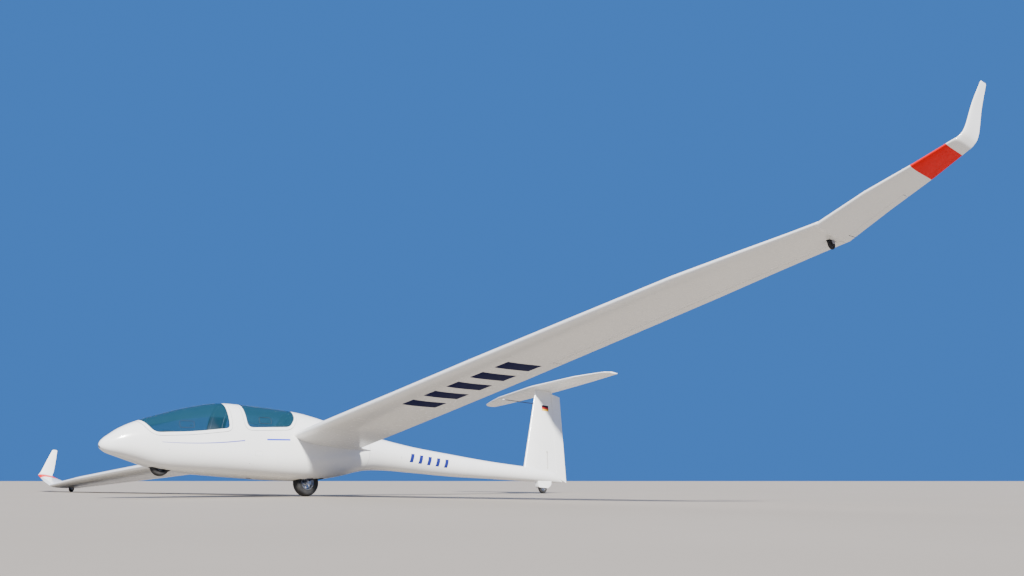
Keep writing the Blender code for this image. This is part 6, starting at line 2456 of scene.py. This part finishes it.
    def film(self, name: str, corners: Sequence[Point], finish: Finish, face: float,
             steps: tuple[int, int] = (12, 20), lift: float = 0.0006) -> Shape:
        """Lay a four-cornered film on the upper (1) or lower (-1) surface, corners as span and station.

        Args:
            name: The piece's name.
            corners: Its corners: inner front, outer front, outer rear, inner rear.
            finish: What it is dressed in.
            face: 1 for the upper surface, -1 for the lower.
            steps: How finely it follows the surface, along and across.
            lift: How far it stands off the surface.

        Returns:
            The film.
        """
        rings = []
        for i in range(steps[0] + 1):
            s = i / steps[0]
            fore = Vector(corners[0]).lerp(Vector(corners[1]), s)
            rear = Vector(corners[3]).lerp(Vector(corners[2]), s)
            places = [fore.lerp(rear, k / steps[1]) for k in range(steps[1] + 1)]
            outer = [self.wing.surface(p.x, p.y, face) + UP * face * lift for p in places]
            inner = [self.wing.surface(p.x, p.y, face) - UP * face * 0.0012 for p in reversed(places)]
            rings.append(mirrored(outer + inner, self.side))
        return loft(name, rings, finish)

    def underside_bars(self) -> None:
        """Lay the row of slanted navy bars under the wing."""
        shapes = []
        fore, aft, width, slant = self.bar_size
        for number, y in enumerate(self.bars):
            corners = [(y, fore), (y + width, fore), (y + width + slant, aft), (y + slant, aft)]
            shapes.append(self.film(f"wing_bar_{number}", corners, NAVY, -1.0))
        self.set_down(merged("underside_bars", shapes, NAVY), "gelcoat")


@dataclass
class Tail(Assembly):
    """Fin, rudder, tailplane, elevator, energy probe and the fin's marks."""

    wing: WingLines
    # height, leading station, trailing station
    fin_rows: tuple[tuple[float, float, float], ...] = (
        (0.02, 7.405, 8.562), (0.318, 7.490, 8.557), (1.00, 7.684, 8.546), (1.7341, 7.893, 8.532))
    # y, leading station, trailing station
    plane_rows: tuple[tuple[float, float, float], ...] = (
        (0.00, 7.758, 8.469), (0.50, 7.815, 8.452), (0.96, 7.868, 8.430), (1.30, 7.985, 8.405),
        (1.49, 8.068, 8.385), (1.56, 8.150, 8.371))
    thickness: float = 0.11
    plane_z: float = 1.774
    rudder_axis: float = 8.295
    elevator_axis: float = 8.275
    probe_z: float = 1.476
    # the bands' middle, and their half length and half height
    band_middle: Point = (8.084, 1.411)
    band_half: Point = (0.088, 0.052)
    probe_head: Point = (7.065, 1.463)
    slot_outline: tuple[Point, ...] = ((8.030, 0.31), (8.052, 0.31), (8.068, 0.62), (8.040, 0.62))
    # hinge points as height and nose radius for the rudder, span station and nose radius for the elevator
    rudder_points: tuple[Point, ...] = ((0.05, 0.0295), (1.700, 0.0250))
    elevator_points: tuple[Point, ...] = ((-1.46, 0.0105), (0.0, 0.0205), (1.46, 0.0105))
    rudder_swing: float = 30.0
    elevator_swing: float = 25.0
    # side views of what is cut below and above the rudder, and of the room over the boom
    below: tuple[Point, ...] = ((8.00, 0.273), (8.70, 0.051), (8.70, -0.30), (8.00, -0.30))
    above: tuple[Point, ...] = ((8.10, 1.723), (8.70, 1.651), (8.70, 1.90), (8.10, 1.90))
    heel: tuple[Point, ...] = ((8.00, 0.261), (8.70, 0.039), (8.70, 0.60), (8.00, 0.60))

    def fin_row(self, z: float) -> tuple[float, float]:
        """Give the fin's leading and trailing station at a height.

        Args:
            z: Metres over the nose tip.

        Returns:
            The two stations.
        """
        _, leading, trailing = read_between(self.fin_rows, z)
        return leading, trailing

    def fin_skin(self, station: float, z: float, lift: float) -> Vector:
        """Give a point on the fin's port face.

        Args:
            station: Metres aft of the nose tip.
            z: Metres over the nose tip.
            lift: How far it stands off the surface.

        Returns:
            The point.
        """
        leading, trailing = self.fin_row(z)
        u = min(max((station - leading) / (trailing - leading), 0.0), 1.0)
        half = self.wing.half_thickness(u, self.thickness) * (trailing - leading) + self.wing.blunt * u
        return at(station, half + lift, z)

    def build(self, boom: Shape) -> None:
        """Make the whole tail and cut the boom for it.

        Args:
            boom: The tail boom, still open to cuts.
        """
        rings = []
        heights = [row[0] for row in self.fin_rows]
        for z in sorted({*spaced(heights[0], heights[-1], 0.12), *heights[1:-1]}):
            leading, trailing = self.fin_row(z)
            rings.append(self.wing.ring(at(leading, 0.0, z), at(trailing, 0.0, z), self.thickness, 0.0, PORT))
        fin = loft("fin", rings, WHITE)
        fin.cut(self.lines.body("boom_skin", spaced(7.0, 8.43, 0.075), WHITE, -TOUCH))
        fin.cut(box("fin_root", (6.5, -0.3, -0.30), (9.0, 0.3, 0.190), WHITE))
        rudder = self.rudder(fin, boom, rings)
        self.probe(fin)
        slot = rounded(self.slot_outline, [0.008] * 4, 5)
        fin.cut(prism("fin_slot", slot, 0.030, 0.2, WHITE))
        # A thin brownish tube round the slot: painted shade along the slot's edge.
        rim = [self.fin_skin(station, z, 0.0002) for station, z in slot]
        self.set_down(tube("fin_slot_rim", [*rim, rim[0]], 0.0016, SLOT_EDGE_SHADE, 8), "gelcoat", sharp=80.0)
        self.set_down(fin, "gelcoat", "fin")
        self.set_down(rudder, "gelcoat", "rudder", body="rudder")
        self.tailplane()
        self.flag()

    def rudder(self, fin: Shape, boom: Shape, rings: Sequence[Ring]) -> Shape:
        """Split off the rudder, which swings on a pin at the boom and one under the tailplane.

        Args:
            fin: The fin, still open to cuts.
            boom: The tail boom, still open to cuts.
            rings: The fin's sections.

        Returns:
            The rudder.
        """
        axis = self.rudder_axis
        hinge = Hinge([(at(axis, 0.0, z), nose) for z, nose in self.rudder_points], self.rudder_swing, PORT)
        rudder = loft("rudder", rings, WHITE).keep(hinge.volume("rudder_volume", 0.6, 0.3, WHITE))
        # The room's faces left on the fin are near-black: painted shade in the rudder gap.
        fin.cut(hinge.volume("rudder_room", 0.7, 0.4, RECESS_SHADE, room=True))
        rudder.cut(prism("rudder_heel", self.below, -0.3, 0.3, WHITE))
        rudder.cut(prism("rudder_crown", self.above, -0.3, 0.3, WHITE))
        heel = hinge.volume("heel_room", 0.7, 0.4, WHITE, room=True)
        boom.cut(heel.keep(prism("clear_heel", self.heel, -0.4, 0.4, WHITE)))
        tail_end = [(axis + 0.020, 1.690), (8.80, 1.690), (8.80, 1.95), (axis + 0.020, 1.95)]
        fin.cut(prism("fin_tail_end", tail_end, -0.3, 0.3, WHITE))
        boom.join(rod("rudder_low_pin", at(axis, 0, 0.120), at(axis, 0, 0.225), 0.006, STEEL))
        fin.join(rod("rudder_top_pin", at(axis, 0, 1.720), at(axis, 0, 1.660), 0.006, STEEL))
        rudder.cut(rod("rudder_low_bore", at(axis, 0, 0.120), at(axis, 0, 0.229), 0.0065, RECESS_SHADE))
        return rudder.cut(rod("rudder_top_bore", at(axis, 0, 1.720), at(axis, 0, 1.656), 0.0065, RECESS_SHADE))

    def tailplane(self) -> None:
        """Make the tailplane on top of the fin and its elevator."""
        rows = [*[(-y, a, b) for y, a, b in reversed(self.plane_rows[1:])], *self.plane_rows]
        finer = []
        for near, far in zip(rows, rows[1:]):
            finer += [tuple(a + (b - a) * k / 4.0 for a, b in zip(near, far)) for k in range(4)]
        z = self.plane_z
        rings = [self.wing.ring(at(a, y, z), at(b, y, z), self.thickness, 0.0, UP)
                 for y, a, b in [*finer, rows[-1]]]
        plane = loft("tailplane", rings, WHITE)
        points = [(at(self.elevator_axis, y, z), nose) for y, nose in self.elevator_points]
        elevator = Hinge(points, self.elevator_swing, UP, 0.003, 0.025).split("elevator", plane, rings, WHITE)
        self.set_down(plane, "gelcoat", "tailplane")
        self.set_down(elevator, "gelcoat", "elevator", body="elevator")

    def probe(self, fin: Shape) -> None:
        """Make the energy probe in front of the fin, with its collar and pale head.

        Args:
            fin: The fin, still open to cuts.
        """
        foot = at(self.fin_row(self.probe_z)[0] + 0.060, 0.0, self.probe_z)
        head = at(self.probe_head[0], 0.0, self.probe_head[1])
        forward = (head - foot).normalized()
        fin.cut(rod("probe_socket", foot - forward * TOUCH, foot + forward * 0.2, 0.0070, SEAM))
        stem = rod("energy_probe_stem", foot, head, 0.0065, DARK_STEEL)
        collar = rod("probe_collar", head - forward * 0.075, head - forward * 0.035, 0.0082, BOLT)
        cap = rod("probe_cap", head - forward * 0.030, head + forward * 0.009, 0.0088, KNOB_WHITE)
        self.set_down(merged("energy_probe_full", [stem, collar, cap], DARK_STEEL), "panel", "energy_probe")

    def flag(self) -> None:
        """Lay the three level bands with a light outline on the port face."""
        (middle_station, middle_z), (half_length, half_height) = self.band_middle, self.band_half
        bands = ((1.0, OUTLINE, 0.004), (1.0, BLACK_BAND, 0.0), (1 / 3, RED_BAND, 0.0),
                 (-1 / 3, GOLD_BAND, 0.0))
        shapes = []
        for number, (top, finish, rim) in enumerate(bands):
            low = -1.0 if rim else top - 2 / 3
            high_z, low_z = middle_z + top * half_height + rim, middle_z + low * half_height - rim
            rings = []
            for station in spaced(middle_station - half_length - rim, middle_station + half_length + rim,
                                  0.01):
                lift = 0.0005 if rim else 0.0009
                rings.append([self.fin_skin(station, low_z, lift), self.fin_skin(station, high_z, lift),
                              self.fin_skin(station, high_z, -0.001), self.fin_skin(station, low_z, -0.001)])
            shapes.append(loft(f"fin_band_{number}", rings, finish))
        self.set_down(merged("fin_bands", shapes, OUTLINE), "gelcoat")


@dataclass(frozen=True)
class WheelSize:
    """One wheel on the centreline and the body that it turns with."""

    label: str
    station: float
    z: float
    radius: float
    width: float
    rim: float
    axle: float
    holes: int
    grooves: tuple[float, ...]


MAIN = WheelSize("main", 3.02, -0.235, 0.190, 0.140, 0.100, 0.0125, 6, (-0.56, -0.2, 0.2, 0.56))
NOSE = WheelSize("nose", 0.81, -0.150, 0.130, 0.085, 0.065, 0.008, 5, (-0.3, 0.3))
TAIL = WheelSize("tail", 7.93, -0.025, 0.100, 0.052, 0.052, 0.006, 4, (0.0,))


@dataclass
class Gear(Assembly):
    """The three wheels on the centreline, with tyres, rims, brake and tail fairing."""

    groove_depth: float = 0.0028
    groove_half: float = 0.035
    shoulder: float = 0.55
    fairing_wall: float = 0.008
    # the tail fairing and its lugs in side view, from the wheel's station and for the lugs its height
    fairing: tuple[Point, ...] = ((-0.135, -0.028), (0.105, -0.034), (0.190, 0.030), (0.210, 0.16),
                                  (-0.150, 0.16))
    fairing_corners: tuple[float, ...] = (0.03, 0.02, 0.03, 0.001, 0.001)
    lug: tuple[Point, ...] = ((-0.018, -0.018), (0.018, -0.018), (0.030, 0.03), (-0.030, 0.03))
    caliper: tuple[Point, ...] = ((0.033, 0.02), (0.085, 0.02), (0.085, 0.085), (0.033, 0.085))
    # the brake hose's points: aft of the wheel's middle, y and height over it
    hose: tuple[tuple[float, float, float], ...] = (
        (0.062, -0.094, 0.085), (0.070, -0.094, 0.13), (0.055, -0.092, 0.20), (0.020, -0.090, 0.26))

    def tyre(self, wheel: WheelSize) -> Shape:
        """Mould a tyre with round shoulders and grooves round the tread.

        Args:
            wheel: The wheel's sizes.

        Returns:
            The tyre.
        """
        half, side = wheel.width / 2.0, wheel.rim + (wheel.radius - wheel.rim) * self.shoulder
        bead = wheel.rim + TOUCH
        profile = [(bead, -half * 0.72), (bead, half * 0.72), (bead + 0.006, half * 0.80),
                   (bead + 0.012, half * 0.90)]
        for degrees in range(96, -97, -3):
            angle = math.radians(min(max(degrees, -90), 90))
            offset = half * math.sin(angle)
            radius = side + (wheel.radius - side) * math.cos(angle) ** 0.8 - 0.002 * max(abs(degrees) - 90, 0)
            for groove in wheel.grooves:
                if abs(math.sin(angle) - groove) < self.groove_half:
                    radius -= self.groove_depth
            profile.append((radius, offset))
        profile += [(bead + 0.012, -half * 0.90), (bead + 0.006, -half * 0.80)]
        return turned(f"{wheel.label}_tyre", at(wheel.station, 0.0, wheel.z), PORT, profile, TYRE, 96)

    def rim(self, wheel: WheelSize) -> Shape:
        """Make a rim with its hub, bored web, flanges and bolts.

        Args:
            wheel: The wheel's sizes.

        Returns:
            The rim.
        """
        seat, hub, bore = wheel.width * 0.36, wheel.width * 0.40, wheel.axle + 0.0005
        wall, web = 0.18 * (wheel.rim - bore), 0.006
        edge = wheel.rim
        half_profile = [(bore, hub), (bore + wall * 0.8, hub), (bore + wall, hub - 0.003),
                        (bore + wall * 1.2, web + 0.004), (bore + wall * 1.5, web), (edge - wall * 1.1, web),
                        (edge - wall * 0.8, web + 0.006), (edge - wall * 0.7, seat - 0.006),
                        (edge - wall * 0.4, seat - 0.001), (edge - 0.001, seat), (edge, seat - 0.001)]
        profile = [*half_profile, *[(r, -offset) for r, offset in reversed(half_profile)]]
        centre = at(wheel.station, 0.0, wheel.z)
        rim = turned(f"{wheel.label}_rim_body", centre, PORT, profile, ALLOY, 72)
        bolts = []
        ring = (bore + wall * 1.5 + wheel.rim - wall * 1.1) / 2.0
        for number in range(wheel.holes):
            angle = math.tau * number / wheel.holes
            out = UP * math.cos(angle) + AFT * math.sin(angle)
            spot = centre + out * ring
            near, far = spot - PORT * 0.05, spot + PORT * 0.05
            rim.cut(rod(f"{wheel.label}_hole_{number}", near, far, ring * 0.24, ALLOY, segments=24))
            turn = UP * math.cos(angle + 0.5) + AFT * math.sin(angle + 0.5)
            spot = centre + turn * (bore + wall * 1.6)
            near, far = spot - PORT * (web + 0.005), spot + PORT * (web + 0.005)
            bolts.append(rod(f"{wheel.label}_bolt_{number}", near, far, 0.0042, BOLT, segments=6))
        return merged(f"{wheel.label}_wheel_rim", [rim, *bolts], ALLOY)

    def build(self, boom: Shape) -> None:
        """Set the wheels down, and make the tail wheel's fairing.

        Args:
            boom: The tail boom, still open to cuts.
        """
        for wheel in (MAIN, NOSE, TAIL):
            body = f"{wheel.label}_wheel"
            self.set_down(self.tyre(wheel), "tyre", f"{wheel.label}_tyre", body=body, sharp=50.0)
            self.set_down(self.rim(wheel), "rim", f"{wheel.label}_rim", body=body)
        self.tail_fairing(boom)
        self.brake()

    def tail_fairing(self, boom: Shape) -> None:
        """Make the rounded box that holds the tail wheel, with lugs for its axle.

        Args:
            boom: The tail boom, still open to cuts.
        """
        s, z, wall = TAIL.station, TAIL.z, self.fairing_wall
        half = TAIL.width / 2.0 + 0.007
        outline = rounded(around(s, 0.0, self.fairing), self.fairing_corners, 6)
        fairing = prism("tail_wheel_fairing", outline, -half - wall, half + wall, WHITE).bevel(0.006, 3, 60.0)
        fairing.cut(self.lines.body("boom_over_fairing", spaced(7.0, 8.43, 0.075), WHITE, -TOUCH))
        first, last = s - TAIL.radius - 0.012, s + TAIL.radius + 0.012
        # The slot's faces are near-black: painted shade around the tail wheel.
        slot = box("tail_wheel_slot", (first, -half, -0.20), (last, half, z + TAIL.radius + 0.010), RECESS_SHADE)
        fairing.cut(slot)
        boom.cut(slot)
        lug = rounded(around(s, z, self.lug), [0.017, 0.017, 0.001, 0.001], 6)
        for side in Side:
            near, far = sorted((side.value * (half + 0.001), side.value * (half + wall)))
            fairing.join(prism(f"tail_lug_{side.label}", lug, near, far, STEEL))
        fairing.cut(rod("tail_axle_bore", at(s, -0.2, z), at(s, 0.2, z), TAIL.axle + TOUCH, RECESS_SHADE))
        self.set_down(fairing, "gelcoat", "tail_wheel_fairing")

    def brake(self) -> None:
        """Add the brake caliper on the main fork and the bracket beside the wheel."""
        s, z = MAIN.station, MAIN.z
        outline = rounded(around(s, z, self.caliper), [0.012] * 4, 5)
        bridge = prism("caliper_body", outline, -0.0955, -0.084, DARK_STEEL)
        route = [at(s + aft, y, z + rise) for aft, y, rise in self.hose]
        hose = tube("brake_hose", route, 0.0035, SEAL, 12)
        self.set_down(merged("main_brake", [bridge, hose], DARK_STEEL), "steel")
        low = self.lines.section(3.01)[1]
        strip = box("bracket_bar", (2.965, 0.108, low - 0.006), (3.062, 0.124, low + 0.020), DARK_STEEL)
        stem = box("bracket_stem", (3.004, 0.1085, low - 0.024), (3.022, 0.1235, low), DARK_STEEL)
        bracket = merged("keel_bracket", [strip.bevel(0.003), stem.bevel(0.002)], DARK_STEEL)
        self.set_down(bracket, "steel", "wheel_bracket")


@dataclass
class Studio:
    """The pale floor, the soft lights and the camera at floor level."""

    floor_radius: float = 600.0
    sky: Colour = (0.055, 0.200, 0.620)
    camera_azimuth: float = -36.4
    camera_distance: float = 16.0
    camera_height: float = 0.22
    lens: float = 35.5
    sensor: float = 36.0
    sight: float = 1500.0
    aim: tuple[float, float, float] = (1.49, -1.64, 3.22)
    # each light's name, place, power, spread and colour, and whether gloss mirrors it
    lights: tuple[tuple[str, tuple[float, float, float], float, float, Colour, bool], ...] = (
        ("key", (-6.0, -14.0, 13.0), 13.0, 0.12, (1.0, 0.98, 0.94), True),
        ("fill", (-14.0, 8.0, 9.0), 1.6, 0.9, (0.96, 0.98, 1.0), False),
        ("rim", (12.0, 10.0, 12.0), 1.4, 0.5, (1.0, 1.0, 1.0), False))

    def build(self) -> None:
        """Set everything up."""
        bm = bmesh.new()
        bmesh.ops.create_circle(bm, cap_ends=True, segments=96, radius=self.floor_radius)
        mesh = bpy.data.meshes.new("studio_floor")
        bm.to_mesh(mesh)
        bm.free()
        mesh.materials.append(FLOOR.material())
        floor = bpy.data.objects.new("studio_floor", mesh)
        bpy.context.scene.collection.objects.link(floor)
        self.world()
        for lamp in self.lights:
            self.light(*lamp)
        self.camera()

    def world(self) -> None:
        """Colour the air behind the craft."""
        world = bpy.data.worlds.new("studio_air")
        world.use_nodes = True
        back = world.node_tree.nodes["Background"]
        back.inputs["Color"].default_value = (*self.sky, 1.0)
        back.inputs["Strength"].default_value = 1.0
        bpy.context.scene.world = world

    @staticmethod
    def light(name: str, place: tuple[float, float, float], power: float, spread: float, colour: Colour,
              mirrored_in_gloss: bool) -> None:
        """Add one soft light aimed at the craft.

        Args:
            name: The light's name.
            place: Where it shines from.
            power: Its strength.
            spread: Its width in the sky, which softens the shadows.
            colour: Its colour.
            mirrored_in_gloss: Whether glossy faces mirror it.
        """
        lamp = bpy.data.lights.new(name, "SUN")
        lamp.energy = power
        lamp.angle = spread
        lamp.color = colour
        holder = bpy.data.objects.new(name, lamp)
        holder.location = place
        holder.rotation_euler = (-Vector(place)).to_track_quat("-Z", "Y").to_euler()
        holder.visible_glossy = mirrored_in_gloss
        bpy.context.scene.collection.objects.link(holder)

    def camera(self) -> None:
        """Place the camera at floor level in front of the port wing."""
        lens = bpy.data.cameras.new("floor_camera")
        lens.lens = self.lens
        lens.sensor_width = self.sensor
        lens.clip_end = self.sight
        holder = bpy.data.objects.new("floor_camera", lens)
        angle = math.radians(self.camera_azimuth)
        place = Vector((math.sin(angle), -math.cos(angle), 0.0)) * self.camera_distance
        place.z = self.camera_height
        holder.location = place
        holder.rotation_euler = (Vector(self.aim) - place).to_track_quat("-Z", "Y").to_euler()
        bpy.context.scene.collection.objects.link(holder)
        bpy.context.scene.camera = holder


# The wheel boxes take the near-black recess finish, which is painted shade in the wells.
CAD_FINISHES: dict[str, Finish] = {
    "main_axle": BOLT, "main_fork": STEEL, "main_wheel_box": RECESS_SHADE, "nose_wheel_box": RECESS_SHADE, "nose_axle": BOLT,
    "tail_axle": BOLT, "belly_tow_hook": DARK_STEEL, "nose_tow_hook": DARK_STEEL, "pedals_front": STEEL,
    "pedals_rear": STEEL, "rear_bulkhead": LINING,
}


def dress_cad_nodes(nodes: dict[str, bpy.types.Object]) -> None:
    """Give the nodes that stay their finishes.

    Args:
        nodes: The frame's nodes by name.
    """
    for name, finish in CAD_FINISHES.items():
        node = nodes[name]
        for place in node.material_slots:
            place.material = finish.material()
        log.info("%s keeps its shape in %s", name, finish.name)


def main() -> None:
    """Dress the whole sailplane on its frame."""
    logging.basicConfig(level=logging.INFO, format="%(name)s: %(message)s")
    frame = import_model()
    craft, lines, wing = Craft(joints=frame["joints"]), HullLines(), WingLines()
    fuselage = Fuselage(craft, lines, wing)
    fuselage.shell((FRONT_CANOPY, REAR_CANOPY))
    for canopy in (FRONT_CANOPY, REAR_CANOPY):
        Canopy(craft, lines, canopy).build(fuselage.pod)
    fuselage.openings()
    Cockpit(craft, lines).build()
    for side in Side:
        Wing(craft, lines, wing, side).build()
    Tail(craft, lines, wing).build(fuselage.boom)
    Gear(craft, lines).build(fuselage.boom)
    fuselage.finish()
    dress_cad_nodes(frame["nodes"])
    Shape.clear_workshop()
    Studio().build()
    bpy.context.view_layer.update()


if __name__ == "__main__":
    main()
